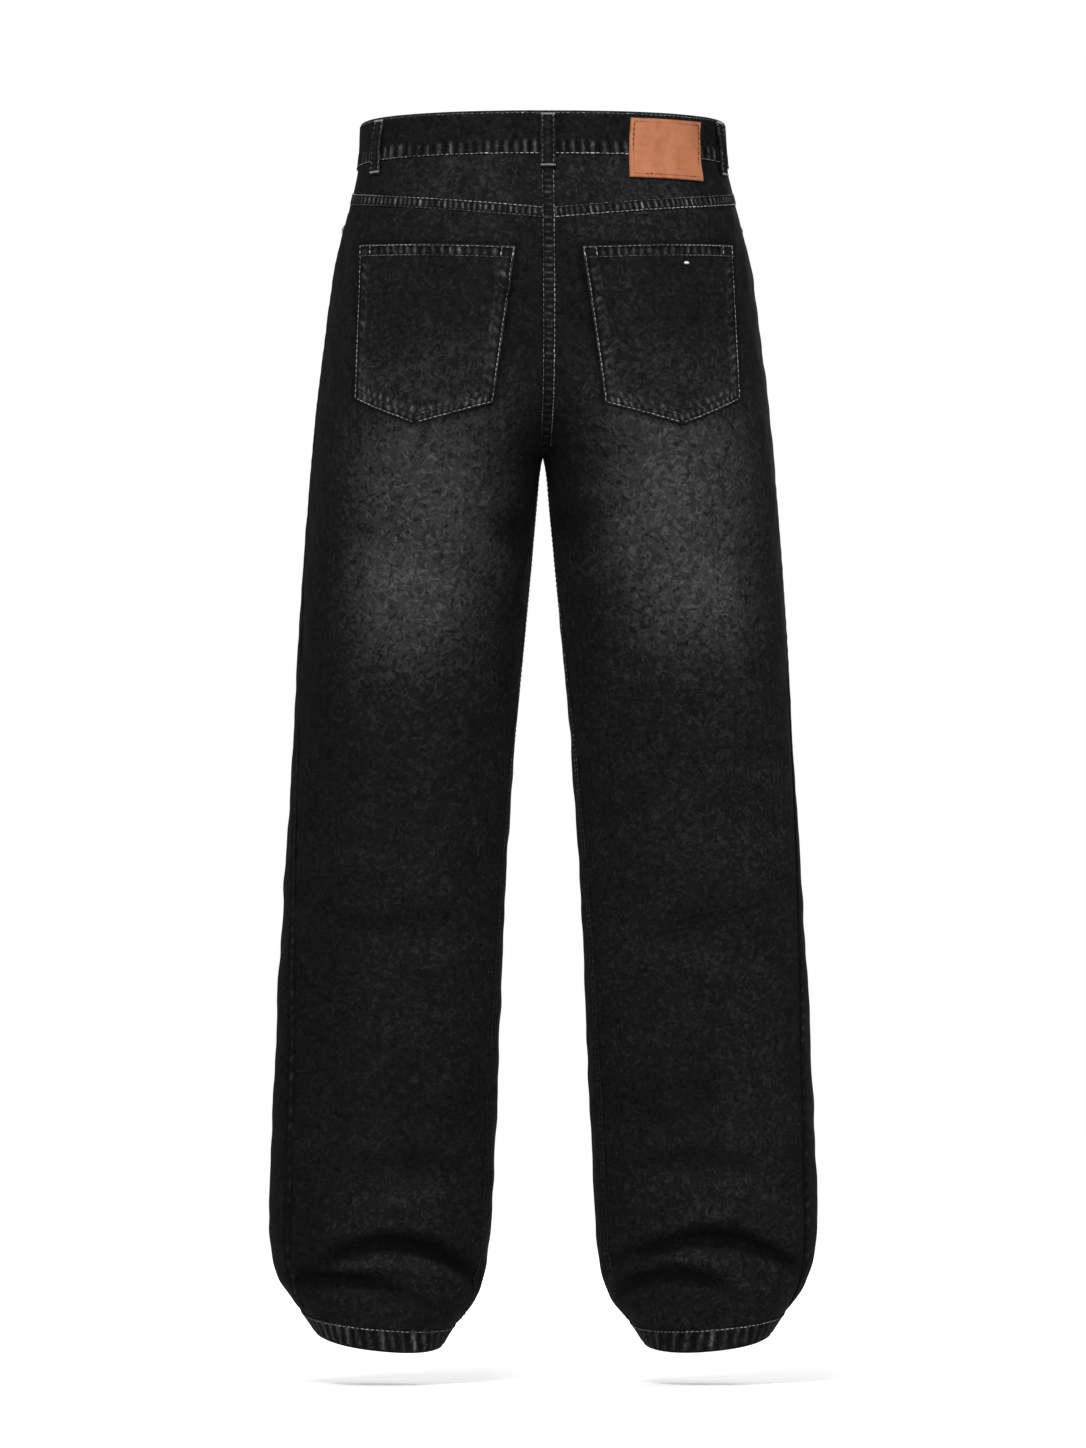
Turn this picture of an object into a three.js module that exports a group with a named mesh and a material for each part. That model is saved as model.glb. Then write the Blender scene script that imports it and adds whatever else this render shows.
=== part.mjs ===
// Straight leg jeans in black washed denim, in the hollow form that they take when worn.
// Millimetres, +Z up. The wearer faces -Y and their left is +X.
// The origin is the middle of the waist opening, level with the top of the waistband at the sides.
import * as THREE from 'three';

// Cloth and seams
const DENIM = 1.4; // wall of one layer of denim
const SEAM_GAP = 0.3; // between two pieces at a seam
const HALF_GAP = SEAM_GAP / 2;
const FACET_ROOM = 0.6; // by which a wide flat facet can lie inside the curve it stands for
const NARROW_ROOM = 0.3; // the same for a narrow one

// Heights, all at the side of the garment
const WAISTBAND_HEIGHT = 38.3;
const WAIST_SEAM = -WAISTBAND_HEIGHT;
const YOKE_SIDE = -65;
const YOKE_MIDDLE = -89;
const BELOW_YOKE = -190; // from here down the rows of a back panel run level
const CROTCH = -289;
const HEM = -1055;
const HEM_FOLD = 17.4;

// Width and thickness of the stitched-on pieces
const POCKET_WALL = 1.6;
const LOOP_WIDTH = 13;
const LOOP_WALL = 1.8;
const LOOP_BOW = 2.2; // how far a loop stands off the band at its middle
const BAND_PROUD = 0.8;
const BAND_WALL = 2.6;
const PATCH_WALL = 1.4;

// Front opening: the wearer's left edge laps over the right one
const LAP = 8;
const LAP_RAISE = DENIM + SEAM_GAP + NARROW_ROOM;
const FLY_END = -184;
const BAND_LAP_RAISE = BAND_WALL + SEAM_GAP;
const BAND_TONGUE = 26; // how far the right end of the band runs on under the left one

// Curved mouth of a front pocket, from the side seam forwards and from the band down
const MOUTH_WIDTH = 85;
const MOUTH_DEPTH = 46;
const MOUTH_END = WAIST_SEAM - MOUTH_DEPTH;
const FACING_UNDER = 14; // how far the facing runs on behind the mouth's edge

const radians = THREE.MathUtils.degToRad;
const degrees = THREE.MathUtils.radToDeg;
const lerp = THREE.MathUtils.lerp;
const clamp = THREE.MathUtils.clamp;
const smooth = THREE.MathUtils.smoothstep;

// A table has named columns, and its rows run down the garment.
function table(names, rows) {
  return rows.map((row) => Object.fromEntries(names.map((name, i) => [name, row[i]])));
}

// Sections across the garment. level is the height at the side, outer the half width, back and front
// the depth behind and before middle, tilt the rise for each mm towards the back, and square the
// power of the rounded outline, where 2 is an ellipse.
const SECTIONS = table(
  ['level', 'outer', 'back', 'front', 'middle', 'tilt', 'square'],
  [
    [2, 158.0, 108, 108, -6, 0.1, 2.3],
    [-38, 161.2, 112, 111, -6, 0.1, 2.3],
    [-75, 169.2, 122, 115, -6, 0.085, 2.3],
    [-101, 176.0, 129, 118, -6, 0.072, 2.3],
    [-127, 182.0, 135, 120, -6, 0.058, 2.3],
    [-153, 185.5, 139, 122, -6, 0.044, 2.3],
    [-205, 192.3, 141, 123, -6, 0.018, 2.28],
    [-240, 196.6, 137, 122, -6, 0.006, 2.24],
    [-289, 201.3, 127, 120, -6, 0, 2.2],
    [-327, 204.5, 121, 117, -6, 0, 2.16],
    [-379, 208.4, 113, 112, -6, 0, 2.13],
    [-431, 211.8, 106, 106, -6, 0, 2.1],
    [-484, 214.9, 99, 100, -5, 0, 2.1],
    [-536, 217.5, 93, 94, -4, 0, 2.1],
    [-588, 221.0, 88, 88, -2, 0, 2.1],
    [-640, 224.5, 84, 83, 0, 0, 2.1],
    [-692, 227.5, 80, 78, 2, 0, 2.1],
    [-745, 231.0, 78, 74, 3, 0, 2.1],
    [-797, 233.2, 76, 71, 4, 0, 2.1],
    [-849, 235.8, 75, 70, 5, 0, 2.1],
    [-901, 238.0, 75, 70, 6, 0, 2.1],
    [-936, 239.0, 76, 71, 6, -0.01, 2.1],
    [-957, 239.3, 78, 73, 5, -0.025, 2.1],
    [-978, 237.5, 81, 77, 4, -0.042, 2.1],
    [-993, 235.3, 84, 81, 3, -0.056, 2.1],
    [-1009, 229.8, 88, 86, 2, -0.072, 2.1],
    [-1020, 223.9, 91, 90, 1, -0.083, 2.1],
    [-1030, 217.5, 94, 94, 0, -0.093, 2.1],
    [-1040, 209.4, 97, 97, -1, -0.101, 2.15],
    [-1055, 198.6, 99, 99, -2, -0.11, 2.2],
  ],
);

// Inner side of a leg below the crotch, from the middle plane
const INNER_SIDE = table(
  ['level', 'inner'],
  [
    [-289, 0.15],
    [-301, 3.0],
    [-327, 5.4],
    [-379, 10.0],
    [-431, 14.6],
    [-484, 19.4],
    [-536, 23.9],
    [-588, 27.8],
    [-640, 31.2],
    [-692, 33.9],
    [-745, 36.0],
    [-797, 38.0],
    [-849, 40.0],
    [-901, 42.2],
    [-936, 44.0],
    [-957, 45.6],
    [-978, 47.2],
    [-993, 49.8],
    [-1009, 54.4],
    [-1020, 60.3],
    [-1030, 68.5],
    [-1040, 78.0],
    [-1055, 88.0],
  ],
);

// Towards the hem a leg's outer side rides up and its inner side hangs lower. lean is the rise for
// each mm towards the outer side.
const LEAN = table(
  ['level', 'lean'],
  [
    [2, 0],
    [-957, 0],
    [-993, 0.02],
    [-1009, 0.036],
    [-1020, 0.05],
    [-1030, 0.065],
    [-1040, 0.08],
    [-1055, 0.093],
  ],
);

// Above the crotch the two legs' outlines run into each other. 1 is two round legs that just meet,
// and 0 is one outline for the whole body.
const JOIN = table(
  ['rise', 'back', 'front'],
  [
    [0, 1, 1],
    [4, 0.975, 0.97],
    [10, 0.935, 0.92],
    [20, 0.86, 0.82],
    [40, 0.68, 0.58],
    [66, 0.44, 0.3],
    [100, 0.24, 0.12],
    [150, 0.09, 0.03],
    [205, 0, 0],
    [320, 0, 0],
  ],
);

// Where the side seam and the inside seam run round the leg, in degrees from its outer side
const SEAM_LINES = table(
  ['level', 'outseam', 'inseam'],
  [
    [2, 0, 180],
    [-289, 0, 180],
    [-340, 2, 179],
    [-431, 7, 174],
    [-536, 12, 169],
    [-692, 19, 165],
    [-849, 24, 163],
    [-1055, 27, 162],
  ],
);

// The largest folds, where the cloth stacks above the foot. leg is 1 for the wearer's left. Each fold
// is an arch through three places round the leg, in degrees, at three levels. size is its depth, below
// zero for a trough, and width its half width.
const FOLDS = table(
  ['leg', 'from', 'mid', 'to', 'level_from', 'level_mid', 'level_to', 'width', 'size'],
  [
    [1, 45, 97, 168, -988, -967, -1010, 9, -5],
    [1, 20, 66, 120, -1006, -1000, -1016, 7, -3.5],
    [1, 70, 100, 150, -990, -985, -1008, 7, 3],
    [1, -70, -38, -6, -985, -972, -990, 9, -4],
    [1, -160, -105, -50, -990, -962, -985, 10, -5],
    [1, -150, -90, -40, -1012, -990, -1006, 8, -4],
    [1, 40, 100, 150, -930, -938, -925, 14, 2.5],
    [-1, 25, 82, 140, -1000, -965, -985, 9, -5],
    [-1, 70, 118, 160, -1018, -990, -1022, 7, -3.5],
    [-1, 60, 100, 132, -1006, -984, -990, 7, 3],
    [-1, -66, -34, -6, -992, -976, -996, 9, -4],
    [-1, -150, -90, -45, -986, -958, -988, 10, -5],
    [-1, -160, -100, -55, -1010, -986, -1010, 8, -4],
    [-1, 45, 90, 140, -932, -926, -934, 14, 2.5],
  ],
);

// A curve through one column of a table that never swings past its rows
function column(rows, key, name) {
  const x = rows.map((row) => row[key]);
  const y = rows.map((row) => row[name]);
  const last = x.length - 1;
  const step = (i) => (y[i + 1] - y[i]) / (x[i + 1] - x[i]);
  const slope = x.map((_, i) => {
    if (i === 0) return step(0);
    if (i === last) return step(last - 1);
    const before = step(i - 1);
    const after = step(i);
    return before * after <= 0 ? 0 : (2 * before * after) / (before + after);
  });
  const down = x[last] < x[0];
  return (at) => {
    let i = 0;
    while (i < last - 1 && (down ? at < x[i + 1] : at > x[i + 1])) i += 1;
    const span = x[i + 1] - x[i];
    const t = clamp((at - x[i]) / span, 0, 1);
    const rise = y[i + 1] - y[i];
    const a = slope[i] * span - rise;
    const b = -slope[i + 1] * span + rise;
    return y[i] + rise * t + t * (1 - t) * (a * (1 - t) + b * t);
  };
}

const section = Object.fromEntries(
  ['outer', 'back', 'front', 'middle', 'tilt', 'square'].map((name) => [
    name,
    column(SECTIONS, 'level', name),
  ]),
);
const innerSide = column(INNER_SIDE, 'level', 'inner');
const lean = column(LEAN, 'level', 'lean');
const join = { back: column(JOIN, 'rise', 'back'), front: column(JOIN, 'rise', 'front') };
const outseam = column(SEAM_LINES, 'level', 'outseam');
const inseam = column(SEAM_LINES, 'level', 'inseam');

// How far the cloth stands out or in at a place on a leg
function foldAt(leg, level, angle) {
  let sum = 0;
  for (const fold of FOLDS) {
    if (fold.leg !== leg) continue;
    const turn = angle < fold.from - 180 ? angle + 360 : angle;
    if (turn <= fold.from || turn >= fold.to) continue;
    const t = (turn - fold.from) / (fold.to - fold.from);
    const half = (fold.mid - fold.from) / (fold.to - fold.from);
    const chord = lerp(fold.level_from, fold.level_to, t);
    const bow = fold.level_mid - lerp(fold.level_from, fold.level_to, half);
    const line = chord + (bow * t * (1 - t)) / (half * (1 - half));
    const away = (level - line) / fold.width;
    sum += fold.size * Math.exp(-away * away) * Math.sin(Math.PI * t) ** 0.7;
  }
  return sum;
}

// One outline across a leg, or across half of the body above the crotch
function outline(level, isBack) {
  const outer = section.outer(level);
  let centre;
  let half;
  if (level <= CROTCH) {
    const inner = innerSide(level);
    centre = (outer + inner) / 2;
    half = (outer - inner) / 2;
  } else {
    const share = join[isBack ? 'back' : 'front'](level - CROTCH);
    half = (outer - HALF_GAP * share) / (1 + share);
    centre = outer - half;
  }
  return {
    centre,
    half,
    depth: isBack ? section.back(level) : section.front(level),
    middle: section.middle(level),
    tilt: section.tilt(level),
    square: section.square(level),
  };
}

// A point of the garment's surface, moved out by off. leg is 1 for the wearer's left, -1 for the right.
// The angle runs from the outer side, 0, over the back, 90, to the inner side, and below 0 over the front.
function surface(leg, level, angle, off = 0) {
  const cos = Math.cos(radians(angle));
  const sin = Math.sin(radians(angle));
  const shape = outline(level, sin >= 0);
  const out = off + foldAt(leg, level, angle);
  const across = Math.abs(cos) / (shape.half + out);
  const along = Math.abs(sin) / (shape.depth + out);
  const power = shape.square;
  const reach = 1 / (across ** power + along ** power) ** (1 / power);
  const y = shape.middle + reach * sin;
  const z = level + shape.tilt * (y - shape.middle) + lean(level) * reach * cos;
  return new THREE.Vector3(leg * (shape.centre + reach * cos), y, z);
}

// The angle at which the back or front surface meets the plane x = edge
function angleAtPlane(level, isBack, off, edge) {
  const side = isBack ? 1 : -1;
  let near = 20;
  let far = 180;
  for (let i = 0; i < 40; i += 1) {
    const mid = (near + far) / 2;
    if (surface(1, level, side * mid, off).x > edge) near = mid;
    else far = mid;
  }
  return side * near;
}

// The angle at a distance along the surface from the side seam, forwards (-1) or backwards (1)
function angleAtDistance(level, distance, way) {
  const step = 1;
  let gone = 0;
  let angle = outseam(level);
  let last = surface(1, level, angle);
  while (Math.abs(angle) < 120) {
    const next = surface(1, level, angle + way * step);
    const length = next.distanceTo(last);
    if (gone + length >= distance) return angle + (way * step * (distance - gone)) / length;
    gone += length;
    angle += way * step;
    last = next;
  }
  return angle;
}

// A small turn that moves a point by a distance along the outline
function turnFor(level, angle, distance) {
  const here = surface(1, level, angle);
  const there = surface(1, level, angle + 1);
  return distance / here.distanceTo(there);
}

// The angle at a share of the way round between two edges. Even steps in this way are shorter where
// the outline turns more sharply.
function angleBetween(at, isBack, from, to, share) {
  const { half, depth } = outline(at, isBack);
  const ratio = depth / half;
  const squash = (angle, by) => {
    const turned = degrees(Math.atan2(Math.sin(radians(angle)), by * Math.cos(radians(angle))));
    return turned + 360 * Math.round((angle - turned) / 360);
  };
  const even = lerp(squash(from, ratio), squash(to, ratio), share);
  return squash(even, 1 / ratio);
}

// Edges of a panel at the side seam, and at the inside seam or the rise
function sideEdge(isBack) {
  return (level) => {
    const at = outseam(level);
    return at + (isBack ? 1 : -1) * turnFor(level, at, HALF_GAP);
  };
}

function innerEdge(isBack, planeAt = () => HALF_GAP) {
  return (level, off) => {
    const seam = isBack ? inseam(level) : inseam(level) - 360;
    const legEdge = seam + (isBack ? -1 : 1) * turnFor(level, seam, HALF_GAP);
    if (level <= CROTCH) return legEdge;
    const plane = angleAtPlane(level, isBack, off, planeAt(level));
    return isBack ? Math.min(legEdge, plane) : Math.max(legEdge, plane);
  };
}

// A closed wall between two grids of points, outer and inner. With loop, each row closes on itself.
function wall(outer, inner, loop = false) {
  const rows = outer.length;
  const columns = outer[0].length;
  const points = [...outer.flat(), ...inner.flat()];
  const at = (layer, row, col) => layer * rows * columns + row * columns + (col % columns);
  const faces = [];
  const quad = (a, b, c, d) => faces.push(a, b, c, a, c, d);
  const steps = loop ? columns : columns - 1;
  for (let row = 0; row < rows - 1; row += 1) {
    for (let col = 0; col < steps; col += 1) {
      quad(at(0, row, col), at(0, row + 1, col), at(0, row + 1, col + 1), at(0, row, col + 1));
      quad(at(1, row, col), at(1, row, col + 1), at(1, row + 1, col + 1), at(1, row + 1, col));
    }
    if (!loop) {
      const end = columns - 1;
      quad(at(0, row, 0), at(1, row, 0), at(1, row + 1, 0), at(0, row + 1, 0));
      quad(at(0, row, end), at(0, row + 1, end), at(1, row + 1, end), at(1, row, end));
    }
  }
  for (let col = 0; col < steps; col += 1) {
    const end = rows - 1;
    quad(at(0, 0, col), at(0, 0, col + 1), at(1, 0, col + 1), at(1, 0, col));
    quad(at(0, end, col), at(1, end, col), at(1, end, col + 1), at(0, end, col + 1));
  }
  return facingOut(points, faces);
}

// An indexed geometry with its faces turned outwards
function facingOut(points, faces) {
  let volume = 0;
  for (let i = 0; i < faces.length; i += 3) {
    const [a, b, c] = [points[faces[i]], points[faces[i + 1]], points[faces[i + 2]]];
    volume += a.dot(b.clone().cross(c));
  }
  if (volume < 0) {
    for (let i = 0; i < faces.length; i += 3) {
      [faces[i], faces[i + 1]] = [faces[i + 1], faces[i]];
    }
  }
  const geometry = new THREE.BufferGeometry();
  const numbers = points.flatMap((point) => point.toArray());
  geometry.setAttribute('position', new THREE.Float32BufferAttribute(numbers, 3));
  geometry.setIndex(faces);
  geometry.computeVertexNormals();
  return geometry;
}

// A piece of cloth on the garment's form. levelAt(row, share) and the two edges give each grid point,
// and raise(level, x) lifts it off the form.
function clothPiece(piece) {
  const { leg, isBack, rows, columns, levelAt, from, to, outside, inside, raise = () => 0 } = piece;
  const layer = (off) =>
    rows.map((row) => {
      const points = [];
      for (let col = 0; col <= columns; col += 1) {
        const share = col / columns;
        const level = levelAt(row, share);
        const angle = angleBetween(level, isBack, from(level, off), to(level, off), share);
        const flat = surface(leg, level, angle, off);
        const lift = raise(level, flat.x * leg);
        points.push(lift ? surface(leg, level, angle, off + lift) : flat);
      }
      return points;
    });
  return wall(layer(outside), layer(inside));
}

const level = (row) => row;
const CROTCH_ROWS = [-225, -243, -258, -270, -279, -285.5, CROTCH];
const LEG_ROWS = [-300, -330, -380, -435, -495, -555, -620, -690, -760, -830, -895];
const HEM_ROWS = [HEM + HEM_FOLD, HEM + HEM_FOLD / 2, HEM];
const ANKLE_ROWS = [-928, -944, -956, -966, -976, -986, -996, -1006, -1016, -1027, ...HEM_ROWS];
const PANEL_COLUMNS = 9;

// Back panels, from the yoke seam down
function backLevel(row, share) {
  if (row > BELOW_YOKE) {
    const top = yokeLevel(share) - HALF_GAP;
    const gone = (row - YOKE_SIDE) / (BELOW_YOKE - YOKE_SIDE);
    return lerp(top, BELOW_YOKE, gone);
  }
  return row;
}

function yokeLevel(share) {
  return lerp(YOKE_SIDE, YOKE_MIDDLE, share);
}

function backPanel(leg) {
  return clothPiece({
    leg,
    isBack: true,
    rows: [YOKE_SIDE, -105, -147, BELOW_YOKE, ...CROTCH_ROWS, ...LEG_ROWS, ...ANKLE_ROWS],
    columns: PANEL_COLUMNS,
    levelAt: backLevel,
    from: sideEdge(true),
    to: innerEdge(true),
    outside: 0,
    inside: -DENIM,
  });
}

// Back yokes, between the waistband and the back panels
function backYoke(leg) {
  return clothPiece({
    leg,
    isBack: true,
    rows: [0, 0.5, 1],
    columns: PANEL_COLUMNS,
    levelAt: (row, share) => lerp(WAIST_SEAM - HALF_GAP, yokeLevel(share) + HALF_GAP, row),
    from: sideEdge(true),
    to: innerEdge(true),
    outside: 0,
    inside: -DENIM,
  });
}

// The pocket mouth is a quarter of an ellipse: upright at the waistband, level at the side seam.
function mouthDistance(at) {
  const down = clamp((WAIST_SEAM - at) / MOUTH_DEPTH, 0, 1);
  return MOUTH_WIDTH * Math.sqrt(1 - down * down);
}

function frontEdge(at) {
  if (at <= MOUTH_END) return sideEdge(false)(at);
  return angleAtDistance(at, Math.max(mouthDistance(at), HALF_GAP), -1);
}

// Front panels. The left one laps past the middle as far as the fly runs, and is lifted there.
function lapPlane(at) {
  return lerp(HALF_GAP, -LAP, smooth(at, FLY_END, FLY_END + 8));
}

function lapRaise(at, x) {
  const down = smooth(at, FLY_END - 20, FLY_END - 6);
  return LAP_RAISE * down * (1 - smooth(x, 24, 52));
}

function frontPanel(leg) {
  const laps = leg > 0;
  const mouthRows = [];
  for (let turn = 0; turn < 90; turn += 10) {
    mouthRows.push(WAIST_SEAM - HALF_GAP - (MOUTH_DEPTH - HALF_GAP) * Math.sin(radians(turn)));
  }
  const flyRows = [-108, -142, FLY_END + 8, FLY_END, FLY_END - 8, FLY_END - 22];
  return clothPiece({
    leg,
    isBack: false,
    rows: [...mouthRows, MOUTH_END, ...flyRows, ...CROTCH_ROWS, ...LEG_ROWS, ...ANKLE_ROWS],
    columns: PANEL_COLUMNS,
    levelAt: level,
    from: frontEdge,
    to: innerEdge(false, laps ? lapPlane : undefined),
    outside: 0,
    inside: -DENIM,
    raise: laps ? lapRaise : undefined,
  });
}

// Front pocket facings, behind the mouths
const FACING_OUTSIDE = -(DENIM + SEAM_GAP + FACET_ROOM);

function pocketFacing(leg) {
  const bottom = MOUTH_END - 24;
  return clothPiece({
    leg,
    isBack: false,
    rows: [WAIST_SEAM - HALF_GAP, -52, -66, -77, MOUTH_END, bottom],
    columns: 6,
    levelAt: level,
    from: sideEdge(false),
    to: (at) => angleAtDistance(at, Math.max(mouthDistance(at), 20) + FACING_UNDER, -1),
    outside: FACING_OUTSIDE,
    inside: FACING_OUTSIDE - DENIM,
  });
}

// Fly shield, behind the middle of the front
function flyShield() {
  const outside = -(DENIM + SEAM_GAP + NARROW_ROOM);
  const across = [-36, -24, -12, 0, 12];
  const rows = [WAIST_SEAM - SEAM_GAP, -75, -115, -155, FLY_END - 6];
  const layer = (off) =>
    rows.map((row) => across.map((x) => onFront(x, row, off)));
  return wall(layer(outside), layer(outside - DENIM));
}

// A point of the front surface at x, at a level
function onFront(x, at, off) {
  const leg = x < 0 ? -1 : 1;
  const angle = angleAtPlane(at, false, off, Math.abs(x));
  return surface(leg, at, angle, off);
}

// The waistband is one strip. It starts at the lap edge, in front, runs over the wearer's left side
// and back, and ends under its own start.
const BAND_LAP_ANGLE = -90 - degrees(Math.atan2(LAP, section.front(0)));
const BAND_TONGUE_ANGLE = 270 + degrees(Math.atan2(BAND_TONGUE, section.front(0)));

function bandPoint(at, angle, off) {
  const turn = angle > 180 ? angle - 360 : angle;
  return surface(1, at, turn, off);
}

function waistband() {
  const overlap = 3;
  const tongueStart = BAND_LAP_ANGLE + 360;
  const angles = [];
  for (let i = 0; i <= overlap; i += 1) {
    angles.push(lerp(tongueStart, BAND_TONGUE_ANGLE, i / overlap) - 360);
  }
  for (let angle = -68; angle < tongueStart - 4; angle += 8) angles.push(angle);
  for (let i = 0; i <= overlap; i += 1) {
    angles.push(lerp(tongueStart, BAND_TONGUE_ANGLE, i / overlap));
  }
  const fullRaise = BAND_TONGUE_ANGLE - 360 + 3;
  const lift = (angle) => BAND_LAP_RAISE * (1 - smooth(angle, fullRaise, fullRaise + 20));
  const rows = [0, WAIST_SEAM / 2, WAIST_SEAM + HALF_GAP];
  const layer = (off) =>
    rows.map((row) => angles.map((angle) => bandPoint(row, angle, off + lift(angle))));
  return wall(layer(BAND_PROUD), layer(BAND_PROUD - BAND_WALL));
}

// A strip or patch that lies on the back, from its place across, in degrees, and its levels
function layered(leg, from, to, columns, rows, inside, outside, turnAt = () => 0) {
  const layer = (offAt) =>
    rows.map((row) => {
      const points = [];
      for (let col = 0; col <= columns; col += 1) {
        const angle = lerp(from, to, col / columns) + turnAt(row);
        points.push(surface(leg, row, angle, offAt(row)));
      }
      return points;
    });
  return wall(layer(outside), layer(inside));
}

// Belt loops stand off the band at their middle, and are sewn down at both ends.
const LOOP_TOP = -1.5;
const LOOP_BOTTOM = -50;
const LOOPS = table(
  ['name', 'leg', 'angle'],
  [
    ['belt_loop_back', 1, 90],
    ['belt_loop_side_left', 1, 21.5],
    ['belt_loop_side_right', -1, 16],
    ['belt_loop_front_left', 1, -46],
    ['belt_loop_front_right', -1, -46],
  ],
);

function beltLoop(leg, angle) {
  const middle = lerp(LOOP_TOP, LOOP_BOTTOM, 0.5);
  const wide = turnFor(middle, angle, LOOP_WIDTH / 2);
  const rows = [0, 0.12, 0.3, 0.5, 0.7, 0.88, 1].map((t) => lerp(LOOP_TOP, LOOP_BOTTOM, t));
  const rise = (row) => {
    const t = (row - LOOP_TOP) / (LOOP_BOTTOM - LOOP_TOP);
    return BAND_PROUD + SEAM_GAP + LOOP_BOW * Math.sin(Math.PI * t) ** 1.2;
  };
  return layered(leg, angle - wide, angle + wide, 2, rows, rise, (row) => rise(row) + LOOP_WALL);
}

// Leather patch, over the band and the yoke, on the wearer's right. It is cut straight, so lean
// turns its top edge outwards by some degrees, against the taper of the waist.
const PATCH = { near: 57.3, far: 29.4, top: -5.5, bottom: -57.5, lean: 2.6 };

function leatherPatch() {
  const rows = [0, 0.35, 0.7, 1].map((t) => lerp(PATCH.top, PATCH.bottom, t));
  const rest = BAND_PROUD + SEAM_GAP + NARROW_ROOM;
  const turn = (row) => (-PATCH.lean * (row - PATCH.bottom)) / (PATCH.top - PATCH.bottom);
  return layered(-1, PATCH.far, PATCH.near, 5, rows, () => rest, () => rest + PATCH_WALL, turn);
}

// Back pockets, with five corners: across is the distance from the seat seam as seen from behind, and
// height is where the corner lies.
const POCKET = {
  innerTop: { across: 28.7, height: -107.5 },
  outerTop: { across: 159.5, height: -105.5 },
  outerBottom: { across: 166, height: -240 },
  tip: { across: 116, height: -262 },
  innerBottom: { across: 49, height: -243.5 },
};

// The level and angle of a place on the back that is seen at across and height
function placeOnBack({ across, height }) {
  let at = height;
  let angle = 90;
  for (let i = 0; i < 8; i += 1) {
    angle = angleAtPlane(at, true, 0, across);
    const point = surface(1, at, angle);
    at += height - point.z;
  }
  return { at, angle };
}

function mix(a, b, share) {
  return { at: lerp(a.at, b.at, share), angle: lerp(a.angle, b.angle, share) };
}

// A place on a side edge of the pocket, which is straight when seen from behind
function pocketEdge(top, bottom, down) {
  return placeOnBack({
    across: lerp(top.across, bottom.across, down),
    height: lerp(top.height, bottom.height, down),
  });
}

function backPocket(leg) {
  const topMiddle = mix(placeOnBack(POCKET.innerTop), placeOnBack(POCKET.outerTop), 0.5);
  const tip = placeOnBack(POCKET.tip);
  const columns = 8;
  const rows = [0, 0.1, 0.3, 0.5, 0.7, 0.85, 1];
  const place = (down, share) => {
    const inner = pocketEdge(POCKET.innerTop, POCKET.innerBottom, down);
    const outer = pocketEdge(POCKET.outerTop, POCKET.outerBottom, down);
    const middle = mix(topMiddle, tip, down);
    return share < 0.5 ? mix(inner, middle, share * 2) : mix(middle, outer, share * 2 - 1);
  };
  const layer = (off) =>
    rows.map((down) => {
      const points = [];
      for (let col = 0; col <= columns; col += 1) {
        const { at, angle } = place(down, col / columns);
        points.push(surface(leg, at, angle, off));
      }
      return points;
    });
  const rest = SEAM_GAP + FACET_ROOM;
  return wall(layer(rest + POCKET_WALL), layer(rest));
}

// Turned hems, a ring inside each leg end
function hemFold(leg) {
  const anglesAt = (at) => {
    const start = outseam(at);
    const end = inseam(at);
    const angles = [];
    for (let i = 0; i < PANEL_COLUMNS; i += 1) {
      angles.push(angleBetween(at, true, start, end, i / PANEL_COLUMNS));
    }
    for (let i = PANEL_COLUMNS; i > 0; i -= 1) {
      angles.push(angleBetween(at, false, start, end - 360, i / PANEL_COLUMNS));
    }
    return angles;
  };
  const outside = -(DENIM + SEAM_GAP + FACET_ROOM);
  const layer = (off) =>
    HEM_ROWS.map((row) => anglesAt(row).map((angle) => surface(leg, row, angle, off)));
  return wall(layer(outside), layer(outside - 2), true);
}

// A turned metal piece: a profile of [radius, height] round the direction out of the cloth
function turned(profile, place, out, sides) {
  const shape = profile.map(([radius, height]) => new THREE.Vector2(radius, height));
  const source = new THREE.LatheGeometry(shape, sides);
  const geometry = source.toNonIndexed();
  const turn = new THREE.Quaternion().setFromUnitVectors(new THREE.Vector3(0, 1, 0), out);
  geometry.applyQuaternion(turn);
  geometry.translate(place.x, place.y, place.z);
  return geometry;
}

// The direction out of the cloth at a place
function outwards(leg, at, angle) {
  const up = surface(leg, at + 1, angle).sub(surface(leg, at - 1, angle));
  const round = surface(leg, at, angle + 1).sub(surface(leg, at, angle - 1));
  const out = up.cross(round).normalize();
  const away = surface(leg, at, angle, 1).sub(surface(leg, at, angle));
  return out.dot(away) < 0 ? out.negate() : out;
}

// Waist button: a domed cap on a short shank
const BUTTON = { radius: 8.5, shank: 3, neck: 0.9, rim: 1.6, height: 3 };
const BUTTON_X = 3;

function waistButton() {
  const at = WAIST_SEAM / 2;
  const face = BAND_PROUD + BAND_LAP_RAISE;
  const angle = angleAtPlane(at, false, 0, BUTTON_X);
  const place = surface(1, at, angle, face + SEAM_GAP);
  const { radius, shank, neck, rim, height } = BUTTON;
  const profile = [
    [0, 0],
    [shank, 0],
    [shank, neck],
    [radius - 0.5, neck],
    [radius, neck + 0.5],
    [radius, rim],
    [radius - 0.8, height - 0.6],
    [radius - 2, height],
    [0, height - 0.5],
  ];
  return turned(profile, place, outwards(1, at, angle), 16);
}

// Rivets at both ends of each pocket mouth
const RIVET_RADIUS = 4.5;
const RIVET_HEIGHT = 1.7;

function rivet(leg, at, angle) {
  const place = surface(leg, at, angle, SEAM_GAP);
  const profile = [
    [0, 0],
    [RIVET_RADIUS, 0],
    [RIVET_RADIUS, 0.4],
    [RIVET_RADIUS - 1.2, 1.1],
    [2.2, 0.9],
    [1.6, RIVET_HEIGHT],
    [0, RIVET_HEIGHT],
  ];
  return turned(profile, place, outwards(leg, at, angle), 12);
}

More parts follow.
